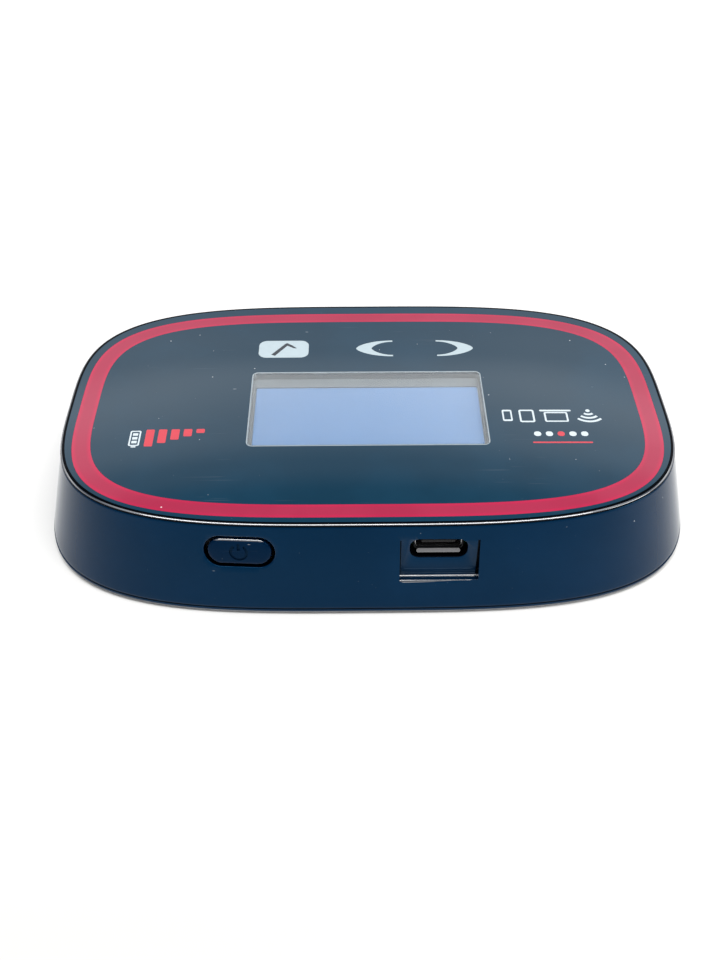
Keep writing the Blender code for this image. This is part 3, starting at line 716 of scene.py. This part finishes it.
# The flat recess round the socket: a profile in YZ whose floor falls inwards, with a filleted foot and a rolled lip
profile = [(-29.2, 16.6), (-29.2, 5.98), (-29.21, 5.82), (-29.25, 5.70), (-29.33, 5.61), (-29.44, 5.575), (-29.58, 5.60), (-30.55, 6.10), (-30.66, 6.145), (-30.75, 6.155), (-30.83, 6.135), (-30.90, 6.08), (-30.97, 5.97), (-31.06, 5.76), (-31.5, 4.9), (-34.0, 4.9), (-34.0, 16.6)]
recess = loft("recess_cut", [[(x, y, z) for y, z in profile] for x in RECESS_X])
steps.append((recess, "DIFFERENCE"))
for i, (x0, x1) in enumerate(((RECESS_X[0], RECESS_X[0] + 0.2), (RECESS_X[1] - 0.34, RECESS_X[1]))):
    groove = [[(x, y, z) for y, z in ((-28.9, 5.75), (-28.9, 13.1), (-30.0, 13.1), (-30.0, 5.75))] for x in (x0, x1)]
    steps.append((loft(f"side_groove_{i}", groove), "DIFFERENCE"))
PORT_Z, PORT_H = 11.38, 3.78
mouth = []
for y, g in ((-26.0, 0.0), (-28.9, 0.0), (-29.06, 0.02), (-29.15, 0.07), (-29.2, 0.16), (-29.23, 0.3), (-31.0, 0.5)):
    mouth.append([(USB_X + x, y, PORT_Z + z) for x, z in rounded_rectangle(8.6 + 2 * g, PORT_H + 2 * g, 1.5 + g, 10)])
steps.append((loft("port_cut", mouth), "DIFFERENCE"))
hole = []
for w, g in ((-3.2, 0.0), (-0.32, 0.0), (-0.17, 0.03), (-0.07, 0.09), (-0.01, 0.18), (0.03, 0.3), (0.8, 0.5)):
    hole.append([on_wall(BUTTON_X + x, BUTTON_Z + z, w) for x, z in rounded_rectangle(10.7 + 2 * g, 5.1 + 2 * g, 2.54 + g, 14)])
steps.append((loft("button_cut", hole), "DIFFERENCE"))
slot_rows = [[(x, y, z) for x, z in rounded_rectangle(12.0, 1.6, 0.5, 6, 0.0, 1.4)] for y in (29.6, 34.2)]
steps.append((loft("pry_cut", slot_rows), "DIFFERENCE"))
carve(shell, steps)
shell.data.materials.clear()
shell.data.materials.append(WALL_NAVY_SHADED)
shell.data.materials.append(PAINTED_HIGHLIGHT)
shell.data.materials.append(PAINTED_SHADE)
# Material bands: index 1 is a painted highlight on the recess ledge's rounded edges, index 2 painted shade on the
# recess side walls, the socket's inside and the button hole's inside.
for face in shell.data.polygons:
    x, y, z = face.center / MM
    ledge = RECESS_X[0] < x < RECESS_X[1] and -31.25 < y < -29.2 and 5.0 < z < 6.4 and 0.35 < face.normal.z < 0.995 and y > wall_y(x, z) + 0.01
    inside = RECESS_X[0] - 0.1 < x < RECESS_X[1] + 0.1 and -31.2 < y < -26.5 and 5.0 < z < 13.6 and (y > max(-29.12, wall_y(x, z) + 0.12) or abs(face.normal.x) > 0.7)
    mouth_x, mouth_z = abs(x - BUTTON_X) < 5.8, abs(z - BUTTON_Z) < 3.1
    sunk = mouth_x and mouth_z and wall_y(x, z) + 0.2 < y < -20.0
    face.material_index = 1 if ledge else 2 if inside or sunk else 0
piece(shell, "housing", "gloss_housing", "upper_housing")

# ------------------------------------------------------------------ top panel, one crowned sheet with a groove for the ring
A, B = EDGE_A + 0.12, EDGE_B + 0.12
loops = []
for inset, z in (
    (1.5, PLATE_BOTTOM), (1.3, PLATE_BOTTOM + 0.03), (1.25, PLATE_BOTTOM + 0.12), (1.25, 15.64), (0.14, 15.64), (0.05, 15.655), (0.012, 15.68), (0.0, 15.72), (0.0, 15.77),
    (0.012, 15.81), (0.045, 15.86), (0.10, 15.905), (0.17, 15.945), (0.26, 15.975), (0.37, 15.997), (0.50, 16.01), (0.66, 16.018),
):
    loops.append(section(A - inset, B - inset, EDGE_N, z))
gap = 0.02


def on_top(shape, drop=0.0, count=N, dy=0.0):
    return [(x, y + dy, top_height(x, y + dy) - drop) for x, y in superellipse(*shape, count)]


edge = (EDGE_A - 0.72, EDGE_B - 0.72, EDGE_N)
outer = (RING_OUTER[0] + gap, RING_OUTER[1] + gap, RING_OUTER[2])
for f in (0.8, 0.5, 0.25, 0.0):
    loops.append(on_top(tuple(outer[i] * (1 - f) + edge[i] * f for i in range(3)), 0.0, N, RING_Y * (1 - f)))
loops.append(on_top(outer, 0.47, N, RING_Y))
inner = (RING_INNER[0] - gap, RING_INNER[1] - gap, RING_INNER[2])
loops.append(on_top(inner, 0.47, N, RING_Y))
loops.append(on_top(inner, 0.0, N, RING_Y))
for k in range(1, 20):
    share = 1 - k / 20
    loops.append(on_top((inner[0] * share, inner[1] * share, inner[2]), 0.0, N, RING_Y))
panel = loft("top_panel", loops, PANEL, angle=40.0)


def prism(name, outline, low, high):
    return loft(name, [[(x, y, z) for x, y in outline] for z in (low, high)])


def chevron(tip, sign, grow=0.0):
    half, stroke, length, n = 2.4, 2.7, 6.45, 30
    points = []
    for k in range(n + 1):
        v = 2 * k / n - 1
        points.append(((length + 2 * grow) * v * v - grow, math.copysign((half + grow) * (1 - (1 - v * v) ** 2) ** 0.625, v)))
    for k in range(n + 1):
        v = 1 - 2 * k / n
        y = math.copysign(0.82 * half * (1 - (1 - v * v) ** 2) ** 0.7, v)
        points.append((stroke + 1.5 * grow + (length - stroke - 0.5 * grow) * v * v, y))
    return [(tip + sign * x, 14.9 + y) for x, y in points][::sign]


OK_W, OK_D = ok_high[0] - ok_low[0], ok_high[1] - ok_low[1]
OK_X, OK_Y = (ok_high[0] + ok_low[0]) / 2, (ok_high[1] + ok_low[1]) / 2
cuts = [
    (prism("win_cut", rounded_rectangle(WIN_W + 0.5, WIN_D + 0.5, 1.05, 8, WIN_X, WIN_Y), 14.9, 17.0), "DIFFERENCE"),
    (prism("ok_cut", rounded_rectangle(OK_W + 0.04, OK_D + 0.04, 1.47, 8, OK_X, OK_Y), 15.6, 17.0), "DIFFERENCE"),
    (prism("back_cut", chevron(back_low[0], 1, 0.02), 15.6, 17.0), "DIFFERENCE"),
    (prism("fore_cut", chevron(fore_high[0], -1, 0.02), 15.6, 17.0), "DIFFERENCE"),
]
carve(panel, cuts, 40.0)
panel.data.materials.clear()
panel.data.materials.append(PANEL)
panel.data.materials.append(PAINTED_HIGHLIGHT)
panel.data.materials.append(PAINTED_SHADE)
# Material bands on the rim: index 1 is a painted highlight along the rounded edge, index 2 painted dark reflection in
# the bands just above and below it, down the side to the seam.
for face in panel.data.polygons:
    x, y, z = face.center / MM
    rim = (abs(x / A) ** EDGE_N + abs(y / B) ** EDGE_N) ** (1 / EDGE_N)
    face.material_index = 1 if 0.984 < rim and 15.86 < z < 15.98 else 2 if 0.97 < rim and (z < 15.86 or 15.98 < z < 16.016) else 0
piece(panel, "housing", "gloss_panel", "top_plate")

# ------------------------------------------------------------------ red ring, flush with the crown
ring_loops, across = [], []
for f, drop in ((0.0, 0.44), (0.0, 0.0), (0.08, 0.0), (0.2, 0.0), (0.35, 0.0), (0.5, 0.0), (0.65, 0.0), (0.8, 0.0), (0.92, 0.0), (1.0, 0.0), (1.0, 0.44)):
    shape = tuple(RING_OUTER[i] * (1 - f) + RING_INNER[i] * f for i in range(3))
    ring_loops.append(on_top(shape, drop, N, RING_Y))
    across.append(f)
ring = loft("ring_inlay", ring_loops, RED, closed=True, across=across, angle=40.0)
piece(ring, "housing", "ring_red", "accent_ring")

# ------------------------------------------------------------------ window, its printed border and the icons
flush = lambda x, y: top_height(x, y)
border = slab(
    "window_border",
    [rounded_rectangle(WIN_W + 0.46, WIN_D + 0.46, 1.02, 8, WIN_X, WIN_Y), rounded_rectangle(WIN_W + 0.06, WIN_D + 0.06, 0.78, 8, WIN_X, WIN_Y)],
    lambda x, y: top_height(x, y) - 0.01,
    lambda x, y: top_height(x, y) - 0.16,
    BORDER,
)
piece(border, "housing", "display_frame")
skirt = slab(
    "window_skirt",
    [rounded_rectangle(WIN_W + 0.46, WIN_D + 0.46, 1.02, 8, WIN_X, WIN_Y), rounded_rectangle(WIN_W + 0.06, WIN_D + 0.06, 0.78, 8, WIN_X, WIN_Y)],
    lambda x, y: top_height(x, y) - 0.17,
    lambda x, y: 14.78,
    SURROUND,
)
piece(skirt, "housing", "display_frame")
lens = slab("window_glass", [rounded_rectangle(WIN_W, WIN_D, 0.75, 8, WIN_X, WIN_Y)], flush, lambda x, y: top_height(x, y) - 0.4, WINDOW, step=4.0)
piece(lens, "housing", "window", "window_lens")

SINK = 0.03
icon_top = lambda x, y: top_height(x, y) - SINK
icon_low = lambda x, y: top_height(x, y) - 0.4
# The tick, turned half round as the rest of the panel's marks are: a long stroke and a short one
tick = [(-16.62, 13.22), (-14.28, 16.42), (-14.08, 16.62), (-13.86, 16.66), (-12.9, 15.9), (-12.1, 15.02), (-12.75, 15.12), (-13.85, 15.86), (-15.95, 12.86)]
ok_piece = slab("icon_tick_plate", [rounded_rectangle(OK_W, OK_D, 1.45, 8, OK_X, OK_Y), tick], icon_top, icon_low, ICON_WHITE)
piece(ok_piece, "housing", "icon_white", "key_ok")
inner_tick = [(x * 0.99 + (-14.3) * 0.01, y * 0.99 + 14.7 * 0.01) for x, y in tick]
piece(slab("icon_tick_mark", [inner_tick], lambda x, y: icon_top(x, y) - 0.03, icon_low, ICON_DARK), "housing", "foam_black")
piece(slab("icon_back", [chevron(back_low[0], 1)], icon_top, icon_low, ICON_WHITE), "housing", "icon_white", "key_back")
piece(slab("icon_forward", [chevron(fore_high[0], -1)], icon_top, icon_low, ICON_WHITE), "housing", "icon_white", "key_forward")

# ------------------------------------------------------------------ printed marks: generic pictures, turned half round
ink_top = lambda x, y: top_height(x, y) + 0.012
ink_low = lambda x, y: top_height(x, y) + 0.002


def ink(name, outlines, material, slot_name):
    return piece(slab(name, outlines, ink_top, ink_low, material, step=4.0), "housing", slot_name)


for k in range(5):
    tall = 1.0 + 0.78 * k
    ink(f"print_bar_{k + 1}", [rounded_rectangle(1.35, tall, 0.22, 4, -27.0 - 2.02 * k, -6.85 - tall / 2)], MARK_RED, "ring_red")
ink("print_battery_case", [rounded_rectangle(1.75, 3.7, 0.3, 4, -37.4, -8.95), rounded_rectangle(1.25, 3.2, 0.15, 4, -37.4, -8.95)], MARK_WHITE, "icon_white")
ink("print_battery_nub", [rounded_rectangle(0.8, 0.3, 0.08, 3, -37.4, -11.02)], MARK_WHITE, "icon_white")
for k in range(3):
    ink(f"print_battery_cell_{k + 1}", [rounded_rectangle(0.85, 0.62, 0.08, 3, -37.4, -8.0 - 0.93 * k)], MARK_WHITE, "icon_white")


def arc(cx, cy, r, a0, a1, width, n=20):
    return strip([(cx + r * math.cos(math.radians(a0 + (a1 - a0) * k / n)), cy + r * math.sin(math.radians(a0 + (a1 - a0) * k / n))) for k in range(n + 1)], width)


# Radio arcs, with a dot: they open towards -Y because the marks are turned half round
for k, r in enumerate((1.05, 1.95, 2.85)):
    ink(f"print_arc_{k + 1}", [arc(36.3, -2.65, r, -132, -48, 0.42)], MARK_WHITE, "icon_white")
ink("print_arc_dot", [[(36.3 + 0.36 * math.cos(t * math.pi / 10), -2.75 + 0.36 * math.sin(t * math.pi / 10)) for t in range(20)]], MARK_WHITE, "icon_white")
ink("print_laptop_screen", [rounded_rectangle(3.9, 2.5, 0.3, 4, 30.9, -4.35), rounded_rectangle(3.3, 1.9, 0.12, 4, 30.9, -4.35)], MARK_WHITE, "icon_white")
ink("print_laptop_base", [rounded_rectangle(5.2, 0.42, 0.2, 4, 30.9, -2.72)], MARK_WHITE, "icon_white")
ink("print_tablet", [rounded_rectangle(2.5, 3.2, 0.35, 4, 26.1, -4.1), rounded_rectangle(1.9, 2.5, 0.12, 4, 26.1, -4.1)], MARK_WHITE, "icon_white")
ink("print_phone", [rounded_rectangle(1.6, 2.9, 0.3, 4, 22.9, -3.95), rounded_rectangle(1.1, 2.1, 0.1, 4, 22.9, -3.95)], MARK_WHITE, "icon_white")
for k in range(5):
    ink(f"print_dot_{k + 1}", [rounded_rectangle(1.15, 1.15, 0.5, 5, 34.9 - 1.9 * k, -8.6)], MARK_WHITE if k != 2 else MARK_RED, "icon_white" if k != 2 else "ring_red")
ink("print_underline", [rounded_rectangle(9.6, 0.34, 0.15, 4, 31.1, -10.7)], MARK_RED, "ring_red")

# ------------------------------------------------------------------ display under the window
level = lambda z: (lambda x, y: z)
glass = slab(
    "display_glass", [rounded_rectangle(glass_high[0] - glass_low[0] - 0.1, glass_high[1] - glass_low[1] - 0.1, 0.4, 4, 0.0, -1.2)],
    level(glass_high[2] - 0.16), level(glass_low[2]), GLASS_EDGE, step=0, chamfer=0.05,
)
piece(glass, "housing", "display_frame")
DX0, DX1, DY0, DY1 = -18.75, 18.85, -12.3, 5.5
screen = slab(
    "display_polariser", [rounded_rectangle(DX1 - DX0, DY1 - DY0, 0.3, 5, (DX0 + DX1) / 2, (DY0 + DY1) / 2)],
    level(bezel_high[2] - 0.1), level(glass_high[2] - 0.14), DISPLAY, step=0, chamfer=0.03,
)
piece(screen, "housing", "display", "lcd_glass")
surround = slab(
    "display_surround",
    [
        rounded_rectangle(bezel_high[0] - bezel_low[0], bezel_high[1] - bezel_low[1], 1.0, 6, 0.0, -1.2),
        rounded_rectangle(DX1 - DX0 + 0.24, DY1 - DY0 + 0.24, 0.4, 6, (DX0 + DX1) / 2, (DY0 + DY1) / 2),
    ],
    level(bezel_high[2]), level(bezel_low[2]), SURROUND, step=0, chamfer=0.06,
)
piece(surround, "housing", "display_frame", "lcd_bezel")

# ------------------------------------------------------------------ socket: a bright formed sleeve in a body painted near black, as painted shade inside the port
def tube(name, width, height, radius, wall, y_rows, material):
    loops = []
    for y, g in y_rows:
        loops.append([(USB_X + x, y, USB_Z + z) for x, z in rounded_rectangle(width + 2 * g, height + 2 * g, radius + g, 8)])
    for y, g in reversed(y_rows):
        g = g - wall
        loops.append([(USB_X + x, y, USB_Z + z) for x, z in rounded_rectangle(width + 2 * g, height + 2 * g, max(radius + g, 0.05), 8)])
    return loft(name, loops, material, closed=True)


front, rear = usb_low[1], usb_high[1]
body = tube("socket_body", 7.5, 2.4, 0.6, 0.16, [(front + 0.62, -0.05), (front + 0.68, 0.0), (rear, 0.0)], SOCKET_PAINTED_SHADE)
piece(body, "housing", "connector_steel", "micro_usb_shell")
sleeve = tube("socket_sleeve", 7.16, 2.06, 0.45, 0.12, [(front + 1.0, -0.03), (front + 1.06, 0.0), (rear - 0.1, 0.0)], NICKEL)
piece(sleeve, "housing", "connector_steel")
lip_rows = []
for half, (y, z) in ((3.15, (front + 0.08, 10.2)), (3.3, (front + 0.20, 10.33)), (3.3, (front + 0.34, 10.5)), (3.1, (front + 0.48, 10.68))):
    lip_rows.append([(USB_X - half, y, z), (USB_X + half, y, z), (USB_X + half, y + 0.06, z - 0.05), (USB_X - half, y + 0.06, z - 0.05)])
piece(loft("socket_lip", lip_rows, SATIN_NICKEL), "housing", "connector_steel")

# ------------------------------------------------------------------ power button, crowned cap that follows the wall
CAP_W, CAP_H = 9.7, 4.3
cap_loops = []
for w, g in (
    (-2.6, 0.0), (-0.5, 0.0), (-0.34, 0.01), (-0.22, 0.045), (-0.13, 0.10), (-0.07, 0.18), (-0.035, 0.28), (-0.015, 0.4),
    (0.0, 0.6), (0.015, 0.9), (0.028, 1.25), (0.036, 1.6), (0.04, 1.95),
):
    cap_loops.append([on_wall(BUTTON_X + x, BUTTON_Z + z, w - 0.06) for x, z in rounded_rectangle(CAP_W - 2 * g, CAP_H - 2 * g, CAP_H / 2 - 0.01 - g, 14)])
cap = loft("power_key", cap_loops, EDGE_NAVY, angle=45.0)


def wall_cut(name, outline, low, high):
    return loft(name, [[on_wall(BUTTON_X - 0.1 + x, BUTTON_Z - 0.05 + z, w) for x, z in outline] for w in (low, high)])


carve(
    cap,
    [
        (wall_cut("arc_cut", arc(0.0, 0.0, 1.2, 126, 414, 0.42, 40), -0.3, 0.5), "DIFFERENCE"),
        (wall_cut("bar_cut", rounded_rectangle(0.4, 1.2, 0.18, 5, 0.0, 0.85), -0.3, 0.5), "DIFFERENCE"),
    ],
    45.0,
)
cap.data.materials.clear()
cap.data.materials.append(EDGE_NAVY)
cap.data.materials.append(PAINTED_HIGHLIGHT)
cap.data.materials.append(PAINTED_SHADE)
# Index 1 is a painted highlight on the cap's top rim and the upward faces of the power symbol; index 2 painted shade on
# the symbol's other groove walls.
for face in cap.data.polygons:
    x, y, z = face.center / MM
    n = face.normal
    rim = y < wall_y(x, z) + 0.42 and -0.93 < n.y and n.z > 0.42 and z - BUTTON_Z > 1.75
    mark = math.hypot(x - BUTTON_X + 0.1, z - BUTTON_Z) < 1.7 and n.y > -0.85
    face.material_index = 1 if rim or mark and n.z > 0.2 else 2 if mark else 0
piece(cap, "power_button", "gloss_housing", "power_button")
flange = cube("power_key_flange", (12.4, 0.6, 4.1), (BUTTON_X, -26.2, 10.85), FRAME, 0.12)
piece(flange, "power_button", "gloss_housing")

# ------------------------------------------------------------------ battery cover: rolled edge, inner rim, tabs, arrow and grip grooves
cover_rows = [(1.15, 0.0), (0.82, 0.018), (0.58, 0.06), (0.40, 0.13), (0.25, 0.225), (0.14, 0.33), (0.08, 0.41), (0.035, 0.52), (0.01, 0.66), (0.0, 0.80), (0.0, 0.99), (0.01, 1.03), (0.06, 1.05)]
cover = loft("rear_cover", [section(LIP_A - i, LIP_B - i, LIP_N, z) for i, z in cover_rows], BACK_COVER_SHADED)
rim_loops = [section(50.6, 29.8, LIP_N, 0.6, 144), section(50.6, 29.8, LIP_N, 2.45, 144), section(50.45, 29.65, LIP_N, 2.6, 144), section(49.75, 28.95, LIP_N, 2.6, 144), section(49.6, 28.8, LIP_N, 2.45, 144), section(49.6, 28.8, LIP_N, 0.6, 144)]
cover_steps = [(loft("rim", rim_loops, closed=True), "UNION")]
for i, (x, sy) in enumerate(((20.0, 1), (-20.0, 1), (-20.0, -1), (20.0, -1))):
    cover_steps.append((cube(f"tab_{i}", (6.0, 1.0, 0.7), (x, sy * 29.25, 2.05), None, 0.15, 2), "UNION"))
triangle = [(-1.6, 25.6), (1.6, 25.6), (0.0, 28.0)]
cover_steps.append((prism("arrow_cut", triangle, -0.5, 0.18), "DIFFERENCE"))
for i in range(3):
    cover_steps.append((prism(f"grip_cut_{i}", rounded_rectangle(9.0 - 1.6 * i, 0.5, 0.24, 5, 0.0, 24.6 - 1.1 * i), -0.5, 0.16), "DIFFERENCE"))
carve(cover, cover_steps)
cover.data.materials.clear()
for finish in (BACK_COVER_SHADED, WALL_NAVY_SHADED, PAINTED_HIGHLIGHT):
    # The flank above the lip takes the wall's navy; the band just under it carries a painted highlight, the thin bright
    # line along the bottom edge.
    cover.data.materials.append(finish)
for face in cover.data.polygons:
    x, y, z = face.center / MM
    flank = (abs(x / LIP_A) ** LIP_N + abs(y / LIP_B) ** LIP_N) ** (1 / LIP_N) > 0.985
    face.material_index = 1 if flank and z > 0.66 else 2 if flank and z > 0.40 else 0
piece(cover, "battery_cover", "back_cover", "battery_cover")

# ------------------------------------------------------------------ floor, light and camera
floor_mat = Finish("floor_paper", (0.90, 0.90, 0.895), 0.5)
reach = floor_mat.new("ShaderNodeSeparateXYZ")
floor_mat.wire(floor_mat.co, reach.inputs[0])
# The floor is painted darker towards the camera: painted shade for the light falling off there.
floor_mat.add_colour(floor_mat.band(reach.outputs[1], -42.0, -84.0), (0.68, 0.68, 0.668))
floor_mat.add_colour(floor_mat.math("MULTIPLY", floor_mat.noise(0.02, 4.0), 0.04), (0.70, 0.70, 0.69))
floor_mat.add_height(floor_mat.noise(1.5, 4.0), 3.0)
work = bmesh.new()
bmesh.ops.create_grid(work, x_segments=8, y_segments=8, size=2.2)
floor = link("floor", finish_mesh(work, "floor"), floor_mat.done())
floor.location = (0.0, 0.0, -0.00002)

# A soft tent of light: how bright it is depends on the height and on the side
world = bpy.data.worlds.new("studio")
scene.world = world
world.use_nodes = True
tree = world.node_tree
sky = tree.nodes["Background"]


def node(kind, *inputs, **settings):
    n = tree.nodes.new(kind)
    for key, value in settings.items():
        setattr(n, key, value)
    for i, v in enumerate(inputs):
        if v is None:
            continue
        if isinstance(v, (int, float)):
            n.inputs[i].default_value = v
        else:
            tree.links.new(v, n.inputs[i])
    return n.outputs[0]


def curve_of(value, stops):
    """Piecewise-linear level of a value in 0..1, as a colour ramp whose colours reach 1 at level 2.5."""
    n = tree.nodes.new("ShaderNodeValToRGB")
    n.color_ramp.interpolation = "EASE"
    while len(n.color_ramp.elements) < len(stops):
        n.color_ramp.elements.new(0.5)
    for e, (at, level) in zip(n.color_ramp.elements, stops):
        e.position = at
        e.color = (level / 2.5, level / 2.5, level / 2.5, 1.0)
    tree.links.new(value, n.inputs[0])
    return n.outputs[0]


where = tree.nodes.new("ShaderNodeTexCoord")
split = tree.nodes.new("ShaderNodeSeparateXYZ")
tree.links.new(where.outputs["Generated"], split.inputs[0])
dx, dy, dz = split.outputs
back = curve_of(dz, [(0.0, 0.9), (0.50, 1.15), (0.57, 1.5), (0.605, 2.3), (0.645, 1.75), (0.685, 0.9), (0.72, 0.35), (0.80, 0.28), (0.90, 1.25), (1.0, 1.4)])
fore = curve_of(dz, [(0.0, 0.45), (0.5, 0.5), (0.72, 0.75), (0.9, 1.25), (1.0, 1.3)])
facing = node("ShaderNodeMapRange", dy, -0.25, 0.35, 0.0, 1.0)
blend = tree.nodes.new("ShaderNodeMix")
blend.data_type = "RGBA"
tree.links.new(facing, blend.inputs[0])
tree.links.new(fore, blend.inputs[6])
tree.links.new(back, blend.inputs[7])
# The middle of the back is a little darker than its two sides, and the right side brighter than the left
off = node("ShaderNodeMath", dx, 0.0, operation="ABSOLUTE")
sides = node("ShaderNodeMapRange", off, 0.03, 0.17, 0.82, 1.0)
tilt = node("ShaderNodeMapRange", dx, -1.0, 1.0, 0.85, 1.15)
gain = node("ShaderNodeMath", sides, tilt, operation="MULTIPLY")
full = node("ShaderNodeMath", gain, 2.5, operation="MULTIPLY")
tree.links.new(blend.outputs[2], sky.inputs["Color"])
tree.links.new(full, sky.inputs["Strength"])


def area(name, size, power, where, look, colour=(1.0, 1.0, 1.0)):
    data = bpy.data.lights.new(name, "AREA")
    data.shape = "RECTANGLE"
    data.size, data.size_y = size
    data.energy = power
    data.color = colour
    obj = bpy.data.objects.new(name, data)
    scene.collection.objects.link(obj)
    obj.location = where
    obj.rotation_mode = "QUATERNION"
    obj.rotation_quaternion = (Vector(look) - Vector(where)).to_track_quat("-Z", "Y")
    return obj


area("overhead", (0.62, 0.08), 1.9, (0.0, -0.10, 0.60), (0.0, 0.0, 0.0), (1.0, 0.99, 0.98))
area("right_soft", (0.30, 0.30), 1.1, (0.55, -0.22, 0.34), (0.03, -0.02, 0.0), (1.0, 0.99, 0.97))

# Camera: where it stands is given by its pitch, yaw and roll, and by its distance from the top edge's centre
PITCH, YAW, ROLL, DISTANCE, SIDE, RISE, TARGET_Z = math.radians(42.82), math.radians(0.72), math.radians(0.08), 183.4, -1.2, -12.8, 15.9
forward = Vector((math.sin(YAW) * math.cos(PITCH), math.cos(YAW) * math.cos(PITCH), -math.sin(PITCH)))
right = forward.cross(Vector((0, 0, 1))).normalized()
up = right.cross(forward)
right, up = right * math.cos(ROLL) + up * math.sin(ROLL), up * math.cos(ROLL) - right * math.sin(ROLL)
spot = (-DISTANCE * forward + SIDE * right + RISE * up + Vector((0, 0, TARGET_Z))) * MM
lens_data = bpy.data.cameras.new("camera")
lens_data.sensor_width = 36.0
lens_data.lens = 41.25
lens_data.clip_start, lens_data.clip_end = 0.005, 20.0
camera = bpy.data.objects.new("camera", lens_data)
scene.collection.objects.link(camera)
camera.matrix_world = Matrix(((right.x, up.x, -forward.x, spot.x), (right.y, up.y, -forward.y, spot.y), (right.z, up.z, -forward.z, spot.z), (0, 0, 0, 1)))
scene.camera = camera
scene.view_settings.view_transform = "Standard"
scene.view_settings.look = "None"

bpy.context.view_layer.update()
